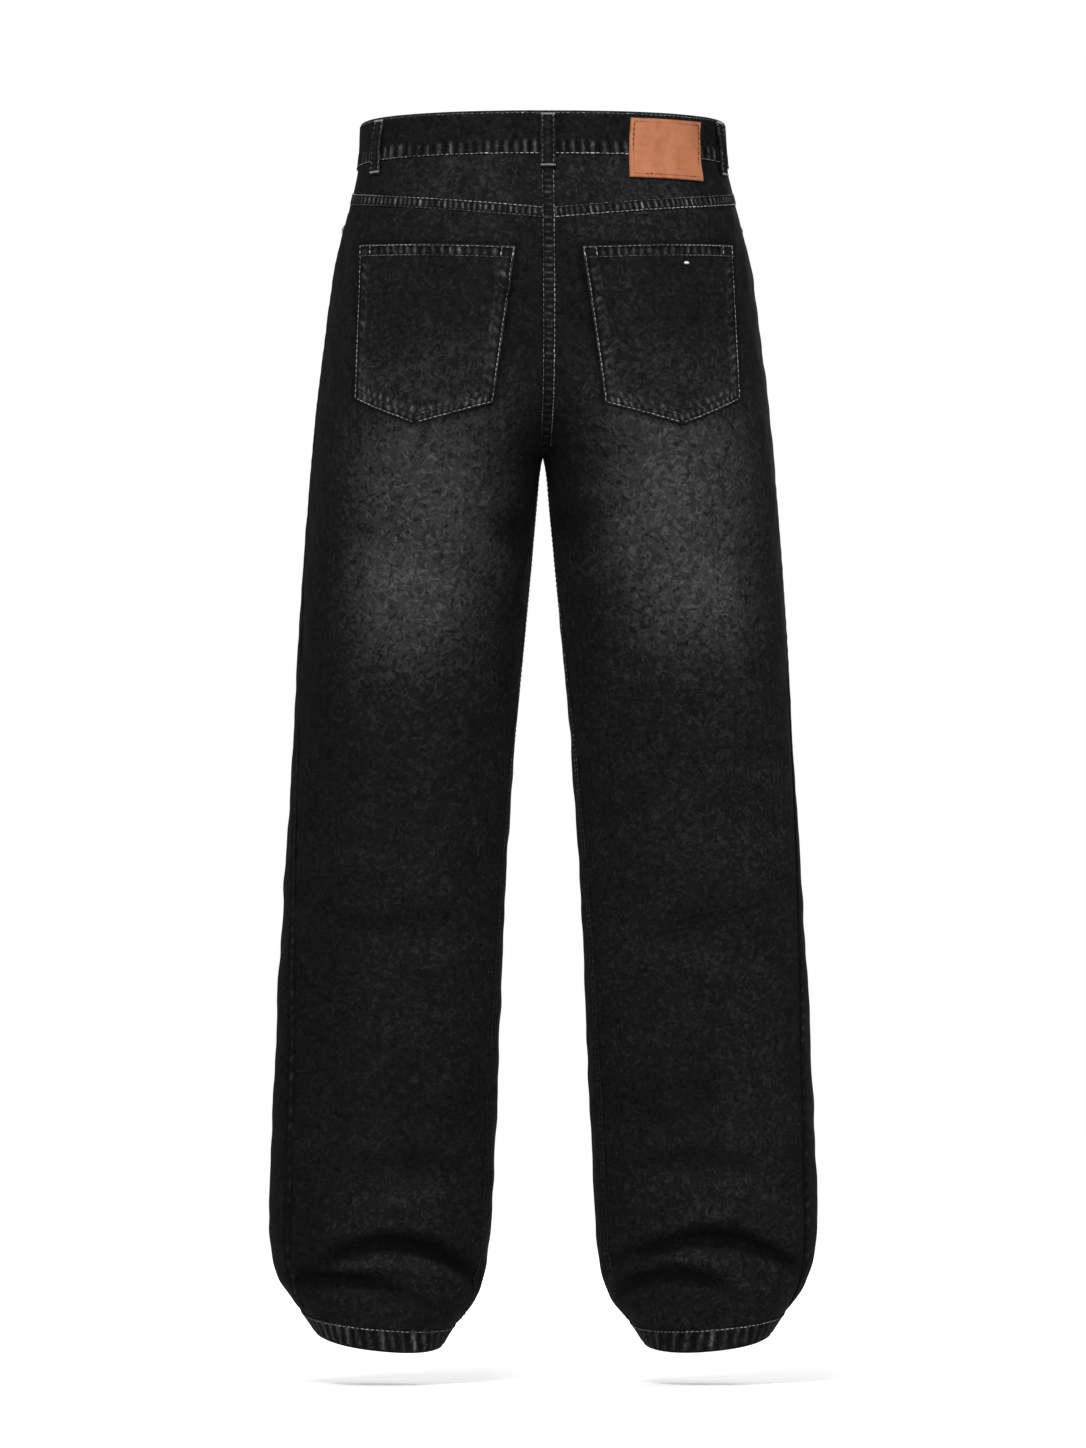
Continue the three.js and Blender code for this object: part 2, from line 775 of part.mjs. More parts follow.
function rivetPlaces() {
  const inset = RIVET_RADIUS + 2;
  const topLevel = WAIST_SEAM - inset - 1;
  const lowLevel = MOUTH_END - inset;
  return {
    top: { at: topLevel, angle: angleAtDistance(topLevel, mouthDistance(topLevel) + inset, -1) },
    low: { at: lowLevel, angle: angleAtDistance(lowLevel, inset + 1, -1) },
  };
}

// Materials, with their colours as seen
const denim = new THREE.MeshStandardMaterial({ color: 0x232326, roughness: 0.95, metalness: 0 });
const denimSeam = new THREE.MeshStandardMaterial({ color: 0x2a2a2d, roughness: 0.95, metalness: 0 });
const leather = new THREE.MeshStandardMaterial({ color: 0xb2704e, roughness: 0.7, metalness: 0 });
const metal = new THREE.MeshStandardMaterial({ color: 0x8d8f92, roughness: 0.35, metalness: 1 });

const jeans = new THREE.Group();

function add(name, geometry, material) {
  const mesh = new THREE.Mesh(geometry, material);
  mesh.name = name;
  jeans.add(mesh);
}

const rivets = rivetPlaces();
for (const [leg, side] of [[1, 'left'], [-1, 'right']]) {
  add(`back_panel_${side}`, backPanel(leg), denim);
  add(`front_panel_${side}`, frontPanel(leg), denim);
  add(`back_yoke_${side}`, backYoke(leg), denim);
  add(`back_pocket_${side}`, backPocket(leg), denimSeam);
  add(`front_pocket_facing_${side}`, pocketFacing(leg), denim);
  add(`hem_fold_${side}`, hemFold(leg), denimSeam);
  add(`rivet_top_${side}`, rivet(leg, rivets.top.at, rivets.top.angle), metal);
  add(`rivet_low_${side}`, rivet(leg, rivets.low.at, rivets.low.angle), metal);
}
add('waistband', waistband(), denimSeam);
for (const { name, leg, angle } of LOOPS) add(name, beltLoop(leg, angle), denimSeam);
add('fly_shield', flyShield(), denim);
add('leather_patch', leatherPatch(), leather);
add('waist_button', waistButton(), metal);

export default jeans;
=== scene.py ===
# %% [markdown]
# Straight leg jeans in black washed denim, in the hollow form that they take when worn.
# This notebook dresses a CAD frame of the jeans. The frame is loaded first. Lengths in the tables
# are millimetres, as a pattern cutter writes them, and meshes are made in metres.

import bmesh
import bpy
import numpy as np
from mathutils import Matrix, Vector


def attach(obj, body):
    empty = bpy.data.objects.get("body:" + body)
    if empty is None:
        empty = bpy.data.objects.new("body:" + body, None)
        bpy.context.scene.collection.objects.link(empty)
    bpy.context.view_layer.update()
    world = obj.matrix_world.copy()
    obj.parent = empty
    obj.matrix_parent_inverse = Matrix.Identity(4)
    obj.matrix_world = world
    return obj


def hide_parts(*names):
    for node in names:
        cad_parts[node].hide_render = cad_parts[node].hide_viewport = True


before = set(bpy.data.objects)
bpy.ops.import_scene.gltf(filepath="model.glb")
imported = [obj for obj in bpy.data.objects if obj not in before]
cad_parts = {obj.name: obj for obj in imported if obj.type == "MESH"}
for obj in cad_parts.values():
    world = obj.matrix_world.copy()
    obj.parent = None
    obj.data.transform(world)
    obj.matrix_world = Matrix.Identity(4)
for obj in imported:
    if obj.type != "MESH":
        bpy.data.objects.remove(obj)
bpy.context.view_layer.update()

print("nodes in the frame:", len(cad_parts))

# %% [markdown]
# Jeans are cut from a few levels and widths: where the waistband ends, where the legs part, how high
# the hem is turned. Each is stated once and by name, in the same frame as the CAD: the waist's top
# edge is at 0, and levels count down from it.

# %% Sizes of the cut
DENIM = 1.4
SEAM_GAP = 0.3
HALF_GAP = SEAM_GAP / 2
WAIST_SEAM = -38.3
YOKE_SIDE = -65.0
YOKE_MIDDLE = -89.0
BELOW_YOKE = -190.0
CROTCH = -289.0
HEM = -1055.0
HEM_FOLD = 17.4
LAP = 8.0
FLY_END = -184.0
MOUTH_WIDTH = 85.0
MOUTH_DEPTH = 46.0
MOUTH_END = WAIST_SEAM - MOUTH_DEPTH
FLOOR = -1097.0
MM = 0.001
print("outseam:", -HEM, "mm, inseam:", CROTCH - HEM, "mm")


# %% [markdown]
# A section is the garment's outline at one level: how far it reaches to the side, to the back and to
# the front, and how square it is. A tape held level measures a body in the same way. Shapes could be
# pushed into place by eye too, but a table can be read, compared with the frame and changed.

# %% Tables of sections
def table(names, rows):
    """Columns of numbers by their names."""
    return {name: np.array([row[i] for row in rows], float) for i, name in enumerate(names)}


SECTIONS = table(
    ("level", "outer", "back", "front", "middle", "tilt", "square"),
    [
        (2, 158.0, 108, 108, -6, 0.1, 2.3),
        (-38, 161.2, 112, 111, -6, 0.1, 2.3),
        (-75, 169.2, 122, 115, -6, 0.085, 2.3),
        (-101, 176.0, 129, 118, -6, 0.072, 2.3),
        (-127, 182.0, 135, 120, -6, 0.058, 2.3),
        (-153, 185.5, 139, 122, -6, 0.044, 2.3),
        (-205, 192.3, 141, 123, -6, 0.018, 2.28),
        (-240, 196.6, 137, 122, -6, 0.006, 2.24),
        (-289, 201.3, 127, 120, -6, 0, 2.2),
        (-327, 204.5, 121, 117, -6, 0, 2.16),
        (-379, 208.4, 113, 112, -6, 0, 2.13),
        (-431, 211.8, 106, 106, -6, 0, 2.1),
        (-484, 214.9, 99, 100, -5, 0, 2.1),
        (-536, 217.5, 93, 94, -4, 0, 2.1),
        (-588, 221.0, 88, 88, -2, 0, 2.1),
        (-640, 224.5, 84, 83, 0, 0, 2.1),
        (-692, 227.5, 80, 78, 2, 0, 2.1),
        (-745, 231.0, 78, 74, 3, 0, 2.1),
        (-797, 233.2, 76, 71, 4, 0, 2.1),
        (-849, 235.8, 75, 70, 5, 0, 2.1),
        (-901, 238.0, 75, 70, 6, 0, 2.1),
        (-936, 239.0, 76, 71, 6, -0.01, 2.1),
        (-957, 239.3, 78, 73, 5, -0.025, 2.1),
        (-978, 237.5, 81, 77, 4, -0.042, 2.1),
        (-993, 235.3, 84, 81, 3, -0.056, 2.1),
        (-1009, 229.8, 88, 86, 2, -0.072, 2.1),
        (-1020, 223.9, 91, 90, 1, -0.083, 2.1),
        (-1030, 217.5, 94, 94, 0, -0.093, 2.1),
        (-1040, 209.4, 97, 97, -1, -0.101, 2.15),
        (-1055, 198.6, 99, 99, -2, -0.11, 2.2),
    ],
)
INNER_SIDE = table(
    ("level", "inner"),
    [
        (-289, 0.15),
        (-301, 3.0),
        (-327, 5.4),
        (-379, 10.0),
        (-431, 14.6),
        (-484, 19.4),
        (-536, 23.9),
        (-588, 27.8),
        (-640, 31.2),
        (-692, 33.9),
        (-745, 36.0),
        (-797, 38.0),
        (-849, 40.0),
        (-901, 42.2),
        (-936, 44.0),
        (-957, 45.6),
        (-978, 47.2),
        (-993, 49.8),
        (-1009, 54.4),
        (-1020, 60.3),
        (-1030, 68.5),
        (-1040, 78.0),
        (-1055, 88.0),
    ],
)
# Rise for each mm towards the outer side: near the hem a leg's inner side hangs lower.
LEAN = table(
    ("level", "lean"),
    [
        (2, 0),
        (-957, 0),
        (-993, 0.02),
        (-1009, 0.036),
        (-1020, 0.05),
        (-1030, 0.065),
        (-1040, 0.08),
        (-1055, 0.093),
    ],
)
JOIN = table(
    ("rise", "back", "front"),
    [
        (0, 1, 1),
        (4, 0.975, 0.97),
        (10, 0.935, 0.92),
        (20, 0.86, 0.82),
        (40, 0.68, 0.58),
        (66, 0.44, 0.3),
        (100, 0.24, 0.12),
        (150, 0.09, 0.03),
        (205, 0, 0),
        (320, 0, 0),
    ],
)
SEAM_LINES = table(
    ("level", "outseam", "inseam"),
    [
        (2, 0, 180),
        (-289, 0, 180),
        (-340, 2, 179),
        (-431, 7, 174),
        (-536, 12, 169),
        (-692, 19, 165),
        (-849, 24, 163),
        (-1055, 27, 162),
    ],
)
print("sections:", len(SECTIONS["level"]))


# %% [markdown]
# Between two rows the outline runs on smoothly. A spline could swing past its points and put a bulge
# between two rows. The curve used here never leaves the range of its two neighbours, which is why it
# suits a garment.

# %% Smooth curves through the tables
def curve(rows, key, name):
    """A curve through one column of a table that never swings past its rows."""
    x, y = rows[key], rows[name]
    if x[0] > x[-1]:
        x, y = x[::-1], y[::-1]
    step = np.diff(y) / np.diff(x)
    product = step[:-1] * step[1:]
    total = np.where(step[:-1] + step[1:] == 0, 1, step[:-1] + step[1:])
    slope = np.concatenate(([step[0]], np.where(product > 0, 2 * product / total, 0), [step[-1]]))

    def at(value):
        value = np.asarray(value, float)
        i = np.clip(np.searchsorted(x, value) - 1, 0, len(x) - 2)
        span = x[i + 1] - x[i]
        t = np.clip((value - x[i]) / span, 0, 1)
        rise = y[i + 1] - y[i]
        start = slope[i] * span - rise
        end = rise - slope[i + 1] * span
        return y[i] + rise * t + t * (1 - t) * (start * (1 - t) + end * t)

    return at


section = {name: curve(SECTIONS, "level", name) for name in SECTIONS if name != "level"}
inner_side = curve(INNER_SIDE, "level", "inner")
rise_at = curve(LEAN, "level", "lean")
join_back = curve(JOIN, "rise", "back")
join_front = curve(JOIN, "rise", "front")
outseam = curve(SEAM_LINES, "level", "outseam")
inseam = curve(SEAM_LINES, "level", "inseam")


def smooth(value, low, high):
    """A smooth step from 0 at low to 1 at high."""
    t = np.clip((value - low) / (high - low), 0, 1)
    return t * t * (3 - 2 * t)


def bell(distance, width):
    """1 at no distance, falling off smoothly to both sides."""
    return np.exp(-((distance / width) ** 2))


print("curves:", ", ".join(section))


# %% [markdown]
# Folds are placed one by one. The large ones stack above the foot, where the leg is longer than the
# space under it. Others are soft: a bend behind the knee, slack under the seat, and pulls that run
# out from the crotch. Each is an arch through three places round a leg, pressed in or out with a
# round profile. A simulation could make such folds too, but it would not put them where they are
# wanted, and these have to agree with the frame.

# %% Folds
# leg is 1 for the wearer's left and -1 for the right. Angles run from the outer side, 0, over the
# back, 90, to the inner side, and below 0 over the front. size is the depth, below 0 for a trough.
FOLD_COLUMNS = ("leg", "from", "mid", "to", "level_from", "level_mid", "level_to", "width", "size")
LARGE_FOLDS = [
    (1, 45, 97, 168, -988, -967, -1010, 9, -5),
    (1, 20, 66, 120, -1006, -1000, -1016, 7, -3.5),
    (1, 70, 100, 150, -990, -985, -1008, 7, 3),
    (1, -70, -38, -6, -985, -972, -990, 9, -4),
    (1, -160, -105, -50, -990, -962, -985, 10, -5),
    (1, -150, -90, -40, -1012, -990, -1006, 8, -4),
    (1, 40, 100, 150, -930, -938, -925, 14, 2.5),
    (-1, 25, 82, 140, -1000, -965, -985, 9, -5),
    (-1, 70, 118, 160, -1018, -990, -1022, 7, -3.5),
    (-1, 60, 100, 132, -1006, -984, -990, 7, 3),
    (-1, -66, -34, -6, -992, -976, -996, 9, -4),
    (-1, -150, -90, -45, -986, -958, -988, 10, -5),
    (-1, -160, -100, -55, -1010, -986, -1010, 8, -4),
    (-1, 45, 90, 140, -932, -926, -934, 14, 2.5),
]
SOFT_FOLDS = [
    (1, 52, 92, 160, -988, -974, -1007, 5, -4.4),
    (1, 48, 92, 152, -977, -958, -990, 7, 3.0),
    (1, 58, 96, 140, -998, -979, -1004, 6, 2.4),
    (1, 104, 132, 168, -976, -984, -1008, 7, -3.0),
    (1, 22, 60, 112, -1005, -1001, -1011, 4.5, -3.6),
    (1, 60, 94, 136, -992, -990, -1003, 3.5, 2.4),
    (1, 66, 100, 146, -1012, -1006, -1018, 5, 1.6),
    (1, -150, -100, -50, -978, -950, -974, 6, 2.4),
    (1, -140, -95, -52, -1002, -980, -998, 5, 2.0),
    (-1, 30, 78, 132, -997, -968, -982, 5, -4.4),
    (-1, 34, 80, 128, -984, -950, -966, 7, 2.6),
    (-1, 44, 84, 126, -1006, -980, -988, 6, 2.4),
    (-1, 110, 136, 168, -968, -976, -1000, 7, -2.8),
    (-1, 72, 112, 152, -1015, -997, -1011, 4.5, -3.4),
    (-1, 70, 106, 146, -1004, -985, -998, 5, 2.0),
    (-1, 36, 70, 112, -1016, -1008, -1014, 5, 1.6),
    (-1, -150, -100, -50, -974, -948, -976, 6, 2.4),
    (-1, -140, -95, -52, -1000, -976, -1000, 5, 2.0),
    (1, 40, 80, 130, -688, -694, -684, 9, -1.6),
    (1, 60, 110, 165, -712, -722, -706, 13, 1.4),
    (1, 20, 60, 110, -652, -640, -660, 16, 1.2),
    (1, 90, 130, 170, -846, -858, -840, 16, -1.3),
    (1, 15, 60, 100, -880, -892, -884, 13, 1.3),
    (1, 50, 100, 150, -905, -900, -912, 9, -1.6),
    (1, 95, 130, 172, -318, -352, -330, 15, -1.8),
    (1, 90, 130, 175, -338, -386, -372, 18, 1.5),
    (1, 30, 70, 120, -372, -352, -384, 20, -1.2),
    (1, -170, -120, -70, -316, -300, -268, 12, -2.2),
    (1, -172, -130, -80, -342, -334, -304, 13, 1.7),
    (1, -170, -110, -60, -372, -356, -330, 15, -1.6),
    (1, -140, -90, -40, -640, -628, -646, 14, -1.8),
    (1, -150, -100, -50, -690, -704, -682, 15, 1.6),
    (1, -150, -95, -40, -876, -860, -880, 14, -1.6),
    (1, -140, -90, -30, -918, -930, -914, 11, 2.0),
    (-1, 35, 80, 125, -676, -690, -700, 12, -1.3),
    (-1, 60, 110, 160, -735, -726, -748, 15, 1.3),
    (-1, 30, 70, 120, -610, -622, -604, 18, 1.1),
    (-1, 70, 120, 168, -832, -846, -850, 17, -1.3),
    (-1, 20, 70, 110, -868, -884, -872, 13, 1.3),
    (-1, 55, 95, 140, -908, -898, -905, 9, -1.6),
    (-1, 98, 135, 172, -314, -344, -338, 14, -1.8),
    (-1, 90, 128, 176, -346, -380, -378, 18, 1.5),
    (-1, 35, 75, 118, -386, -364, -378, 20, -1.2),
    (-1, -170, -118, -68, -312, -296, -262, 12, -2.2),
    (-1, -172, -128, -82, -338, -330, -298, 13, 1.6),
    (-1, -168, -112, -64, -378, -362, -340, 15, -1.5),
    (-1, -142, -92, -44, -650, -636, -640, 14, -1.7),
    (-1, -150, -96, -46, -700, -712, -696, 15, 1.6),
    (-1, -148, -100, -44, -866, -852, -872, 14, -1.6),
    (-1, -138, -86, -34, -922, -934, -920, 11, 2.0),
]
FOLDS = table(FOLD_COLUMNS, LARGE_FOLDS + SOFT_FOLDS)
print("folds:", len(FOLDS["leg"]))


def fold_at(leg, level, angle):
    """How far the folds push the cloth out or in."""
    total = np.zeros(np.broadcast(level, angle).shape)
    for i in np.flatnonzero(FOLDS["leg"] == leg):
        fold = {name: FOLDS[name][i] for name in FOLD_COLUMNS}
        turn = np.where(angle < fold["from"] - 180, angle + 360, angle)
        span = fold["to"] - fold["from"]
        t = (turn - fold["from"]) / span
        half = (fold["mid"] - fold["from"]) / span
        chord = fold["level_from"] + (fold["level_to"] - fold["level_from"]) * t
        straight = fold["level_from"] + (fold["level_to"] - fold["level_from"]) * half
        line = chord + (fold["level_mid"] - straight) * t * (1 - t) / (half * (1 - half))
        away = (level - line) / fold["width"]
        inside = (t > 0) & (t < 1)
        taper = np.sin(np.pi * np.clip(t, 0, 1)) ** 0.7
        total += np.where(inside, fold["size"] * np.exp(-away * away) * taper, 0)
    return total


# %% [markdown]
# One function gives every point of the garment's surface. Panels, yokes, pockets, loops, stitches
# and rivets all ask it for their places, so they follow each other exactly.

# %% The surface of the garment
KNEE = -640.0


def outline(level, is_back):
    """Centre, half width and depth of one leg's outline, or of half the body's."""
    outer = section["outer"](level)
    inner = inner_side(level)
    join = np.where(is_back, join_back(level - CROTCH), join_front(level - CROTCH))
    below = level <= CROTCH
    half = np.where(below, (outer - inner) / 2, (outer - HALF_GAP * join) / (1 + join))
    centre = np.where(below, (outer + inner) / 2, outer - half)
    depth = np.where(is_back, section["back"](level), section["front"](level))
    return centre, half, depth


def surface(leg, level, angle, off=0.0):
    """Points in millimetres, moved out by off."""
    level, angle = np.broadcast_arrays(np.asarray(level, float), np.asarray(angle, float))
    cos, sin = np.cos(np.radians(angle)), np.sin(np.radians(angle))
    centre, half, depth = outline(level, sin >= 0)
    out = off + fold_at(leg, level, angle)
    power = section["square"](level)
    across = (np.abs(cos) / (half + out)) ** power
    along = (np.abs(sin) / (depth + out)) ** power
    reach = (across + along) ** (-1 / power)
    middle = section["middle"](level)
    y = middle + reach * sin
    z = level + section["tilt"](level) * (y - middle) + rise_at(level) * reach * cos
    return np.stack([leg * (centre + reach * cos), y, z], axis=-1)


def angle_at_plane(leg, level, is_back, edge, off=0.0):
    """The angle at which the back or front surface meets the plane x = edge."""
    level = np.asarray(level, float)
    way = 1 if is_back else -1
    near, far = np.full(level.shape, 20.0), np.full(level.shape, 180.0)
    for _ in range(32):
        mid = (near + far) / 2
        outside = surface(leg, level, way * mid, off)[..., 0] * leg > edge
        near, far = np.where(outside, mid, near), np.where(outside, far, mid)
    return way * near


def angle_at_distance(leg, level, distance, way):
    """The angle at a distance along the surface from the side seam."""
    level = np.atleast_1d(np.asarray(level, float))
    turns = np.arange(0, 121, 1.0)
    angles = outseam(level)[:, None] + way * turns[None, :]
    points = surface(leg, np.repeat(level[:, None], len(turns), 1), angles)
    gone = np.cumsum(np.linalg.norm(np.diff(points, axis=1), axis=-1), axis=1)
    gone = np.concatenate([np.zeros((len(level), 1)), gone], axis=1)
    distance = np.broadcast_to(distance, level.shape)
    return np.array([np.interp(d, g, a) for d, g, a in zip(distance, gone, angles)])


def turn_for(leg, level, angle, distance):
    """A small turn that moves a point by a distance round the leg."""
    here, there = surface(leg, level, angle), surface(leg, level, np.asarray(angle) + 1)
    return distance / np.linalg.norm(here - there, axis=-1)


def wrapped(angle):
    """The same direction as an angle from -180 to 180."""
    return np.where(angle > 180, angle - 360, angle)


def squash(angle, by):
    """Angles as they look when the outline is made by times as wide."""
    turned = np.degrees(np.arctan2(np.sin(np.radians(angle)), by * np.cos(np.radians(angle))))
    return turned + 360 * np.round((angle - turned) / 360)


def angles_between(level, is_back, start, end, share):
    """Angles at shares of the way between two edges, closer where the outline turns sharply."""
    _, half, depth = outline(level, is_back)
    ratio = depth / half
    low, high = squash(start, ratio), squash(end, ratio)
    return squash(low + (high - low) * share, 1 / ratio)


print("a leg's width at the knee:", round(2 * float(outline(KNEE, True)[1]), 1), "mm")


# %% [markdown]
# Between its folds, cloth still rolls by a fraction of a millimetre. A sum of waves in many
# directions gives that, and it costs nothing. Its directions come from a seeded generator, so the
# result is the same on each run.

# %% Small unevenness of the cloth
def unevenness(u, v, seed, size=0.35, shortest=22.0, longest=95.0, waves=14):
    """Waves of about the given size, in mm, at distances u and v along the cloth."""
    random = np.random.default_rng(seed)
    total = np.zeros(np.broadcast(u, v).shape)
    for _ in range(waves):
        turn, phase = random.uniform(0, np.pi), random.uniform(0, 2 * np.pi)
        length = random.uniform(shortest, longest)
        total += np.sin((u * np.cos(turn) + v * np.sin(turn)) * 2 * np.pi / length + phase)
    return total * size / np.sqrt(waves / 2)


print("unevenness at one place:", round(float(unevenness(0.0, 0.0, 1)), 3), "mm")


# %% [markdown]
# A panel is a grid of points with a second grid one wall further in, closed round its rim. Each
# point also gets three numbers for the material to read. The first is wear and shade: how much dye has
# rubbed off there, lowered where shade is painted into hollows. The others are the distances along
# and across the cloth, in metres, by which the weave is drawn.

# %% From grids to meshes
def grid_normals(points):
    """Normals of a grid, not yet turned to either side."""
    return np.cross(np.gradient(points, axis=1), np.gradient(points, axis=0))


def unit(vectors):
    return vectors / np.maximum(np.linalg.norm(vectors, axis=-1, keepdims=True), 1e-9)


def inner_layer(outer, wall, away_from):
    """The grid one wall further in. away_from is a point inside the garment for each grid point."""
    normal = unit(grid_normals(outer))
    inwards = away_from - outer
    flip = np.where((normal * inwards).sum(-1, keepdims=True) < 0, -1, 1)
    return outer + normal * flip * wall


def quads_of(rows, columns, first, loop, turned):
    steps = columns if loop else columns - 1
    row, col = np.meshgrid(np.arange(rows - 1), np.arange(steps), indexing="ij")
    after = (col + 1) % columns
    a, b = row * columns + col, (row + 1) * columns + col
    c, d = (row + 1) * columns + after, row * columns + after
    faces = np.stack([a, b, c, d] if not turned else [a, d, c, b], axis=-1).reshape(-1, 4)
    return faces + first


def wall_faces(rows, columns, loop=False):
    """Faces of a closed wall between an outer and an inner grid."""
    many = rows * columns
    faces = [quads_of(rows, columns, 0, loop, False), quads_of(rows, columns, many, loop, True)]
    along = np.arange(columns if loop else columns - 1)
    after = (along + 1) % columns
    last = (rows - 1) * columns
    faces.append(np.stack([along, after, after + many, along + many], -1))
    faces.append(np.stack([along, along + many, after + many, after], -1) + last)
    if not loop:
        down = np.arange(rows - 1) * columns
        faces.append(np.stack([down, down + many, down + columns + many, down + columns], -1))
        end = down + columns - 1
        faces.append(np.stack([end, end + columns, end + columns + many, end + many], -1))
    return np.concatenate(faces)


def distances(points):
    """Distances across and along a grid of points, each from its first column and row."""
    across = np.linalg.norm(np.diff(points, axis=1), axis=-1)
    along = np.linalg.norm(np.diff(points, axis=0), axis=-1)
    u = np.concatenate([np.zeros((points.shape[0], 1)), np.cumsum(across, axis=1)], axis=1)
    v = np.concatenate([np.zeros((1, points.shape[1])), np.cumsum(along, axis=0)], axis=0)
    return u, v


def put_in_scene(name, data):
    """A new object in the scene that shows data."""
    thing = bpy.data.objects.new(name, data)
    bpy.context.scene.collection.objects.link(thing)
    return thing


class Piece:
    """Collects grids and small solids in millimetres, and makes one mesh of them."""

    def __init__(self, name):
        self.name = name
        self.points, self.faces, self.wear, self.uv = [], [], [], []
        self.count = 0

    def take(self, points, faces, wear=0.0, uv=None):
        many = len(points)
        self.points.append(points)
        self.faces.extend((faces + self.count).tolist())
        self.wear.append(np.broadcast_to(wear, many))
        self.uv.append(np.zeros((many, 2)) if uv is None else uv)
        self.count += many

    def wall(self, outer, inner, wear=0.0, loop=False):
        rows, columns = outer.shape[:2]
        uv = np.stack(distances(outer), -1).reshape(-1, 2) * MM
        points = np.concatenate([outer.reshape(-1, 3), inner.reshape(-1, 3)])
        worn_and_shaded = np.broadcast_to(wear, (rows, columns)).reshape(-1)
        worn_and_shaded = np.concatenate([worn_and_shaded, worn_and_shaded * 0])
        self.take(points, wall_faces(rows, columns, loop), worn_and_shaded, np.concatenate([uv, uv]))

    def make(self, material):
        mesh = bpy.data.meshes.new(self.name)
        points = np.concatenate(self.points) * MM
        faces = outward(points, self.faces)
        mesh.from_pydata(points.tolist(), [], faces)
        # This attribute holds wear and painted shade together. Seam edges, pocket outlines, the seat
        # cleft and fold troughs are darkened in it.
        wear = mesh.attributes.new("wear", "FLOAT", "POINT")
        wear.data.foreach_set("value", np.concatenate(self.wear).astype(np.float32))
        corners = np.zeros(len(mesh.loops), np.int32)
        mesh.loops.foreach_get("vertex_index", corners)
        layer = mesh.uv_layers.new(name="cloth")
        uv = np.concatenate(self.uv)[corners]
        layer.uv.foreach_set("vector", uv.astype(np.float32).reshape(-1))
        mesh.materials.append(material)
        mesh.polygons.foreach_set("use_smooth", np.full(len(faces), True))
        mesh.update()
        piece = put_in_scene(self.name, mesh)
        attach(piece, "root")
        triangles = sum(len(face) - 2 for face in faces)
        print(f"{self.name}: {triangles} triangles")
        return piece


def outward(points, faces):
    """Turns all faces round if the mesh is inside out."""
    shape = np.array([face[:3] for face in faces])
    a, b, c = points[shape[:, 0]], points[shape[:, 1]], points[shape[:, 2]]
    if np.einsum("ij,ij->", a, np.cross(b, c)) < 0:
        return [face[::-1] for face in faces]
    return faces


print("faces of a wall of 3 by 3 points:", len(wall_faces(3, 3)))


# %% [markdown]
# Colours are chosen on a screen as sRGB hex codes, but light is worked out in linear numbers, so one
# function turns one into the other. A material is a tree of nodes. They could be placed and joined
# by hand, and one small function does it here, so that a tree reads as a short list of steps.

# %% Colours and nodes
def linear(hex_colour):
    """An sRGB hex colour as linear numbers with alpha."""
    channels = [int(hex_colour[i : i + 2], 16) / 255 for i in (0, 2, 4)]
    return [c / 12.92 if c <= 0.04045 else ((c + 0.055) / 1.055) ** 2.4 for c in channels] + [1.0]


def add_node(tree, kind, settings=None, inputs=None, links=None):
    """Adds a node. links maps an input to an output socket of another node."""
    node = tree.nodes.new(kind)
    for name, value in (settings or {}).items():
        setattr(node, name, value)
    for name, value in (inputs or {}).items():
        node.inputs[name].default_value = value
    for name, output in (links or {}).items():
        tree.links.new(output, node.inputs[name])
    return node


def new_material(name):
    material = bpy.data.materials.new(name)
    material.use_nodes = True
    tree = material.node_tree
    tree.nodes.clear()
    output = add_node(tree, "ShaderNodeOutputMaterial")
    shader = add_node(tree, "ShaderNodeBsdfPrincipled")
    tree.links.new(shader.outputs["BSDF"], output.inputs["Surface"])
    return material, tree, shader


def times_plus(tree, value, factor, plus):
    """value * factor + plus, where plus is a number or an output socket."""
    fixed = {1: factor}
    linked = {0: value}
    (fixed if isinstance(plus, float) else linked)[2] = plus
    return add_node(tree, "ShaderNodeMath", {"operation": "MULTIPLY_ADD"}, fixed, linked).outputs[0]


def noise_of(tree, size, **inputs):
    """Noise with lumps of about the given size in metres, in the piece's own coordinates."""
    place = add_node(tree, "ShaderNodeTexCoord")
    settings = {"Scale": 1 / size, **inputs}
    noise = add_node(tree, "ShaderNodeTexNoise", None, settings, {"Vector": place.outputs["Object"]})
    return noise.outputs["Fac"]


def between(tree, value, low, high, to_low=0.0, to_high=1.0):
    """A smooth step from to_low to to_high while value goes from low to high."""
    span = {"From Min": low, "From Max": high, "To Min": to_low, "To Max": to_high}
    smoothed = {"interpolation_type": "SMOOTHSTEP"}
    return add_node(tree, "ShaderNodeMapRange", smoothed, span, {"Value": value}).outputs["Result"]


def ramp_of(tree, value, stops):
    """Colours at positions from 0 to 1, read at value."""
    ramp = add_node(tree, "ShaderNodeValToRGB", links={"Fac": value})
    elements = ramp.color_ramp.elements
    elements[0].position, elements[1].position = stops[0][0], stops[-1][0]
    elements[0].color, elements[1].color = linear(stops[0][1]), linear(stops[-1][1])
    for position, colour in stops[1:-1]:
        elements.new(position).color = linear(colour)
    return ramp.outputs["Color"]


def bump_of(tree, height, strength, distance):
    sizes = {"Strength": strength, "Distance": distance}
    return add_node(tree, "ShaderNodeBump", None, sizes, {"Height": height}).outputs["Normal"]


print("mid grey in linear light:", round(linear("808080")[0], 3))


# %% [markdown]
# Black denim is dyed cotton twill. Washing takes dye off the high spots first, so seams, fold tops
# and thighs turn grey while the hollows stay black. Here the hollows beside seams, round pockets and in
# fold troughs are darkened by painted shade, and fold tops are paler partly from a painted highlight.
# Both come in through the same map as the wear. The cloth has three scales: the slanted twill ribs, the
# short curled strokes that washing brings up, and broad clouds where the dye is thinner. Ribs in the
# cloth are under a millimetre apart, too fine for this distance, so they are drawn at 1.4 mm. Each
# curled stroke is the contour of a smooth noise: a sine of the noise gives bent lines, each with a
# light and a dark side, and a second noise breaks these lines into short pieces.

# %% Black washed denim
TWILL_PITCH = 1.4 * MM
GRAIN_SIZE = 1.5 * MM
CLOUD_SIZE = 38 * MM
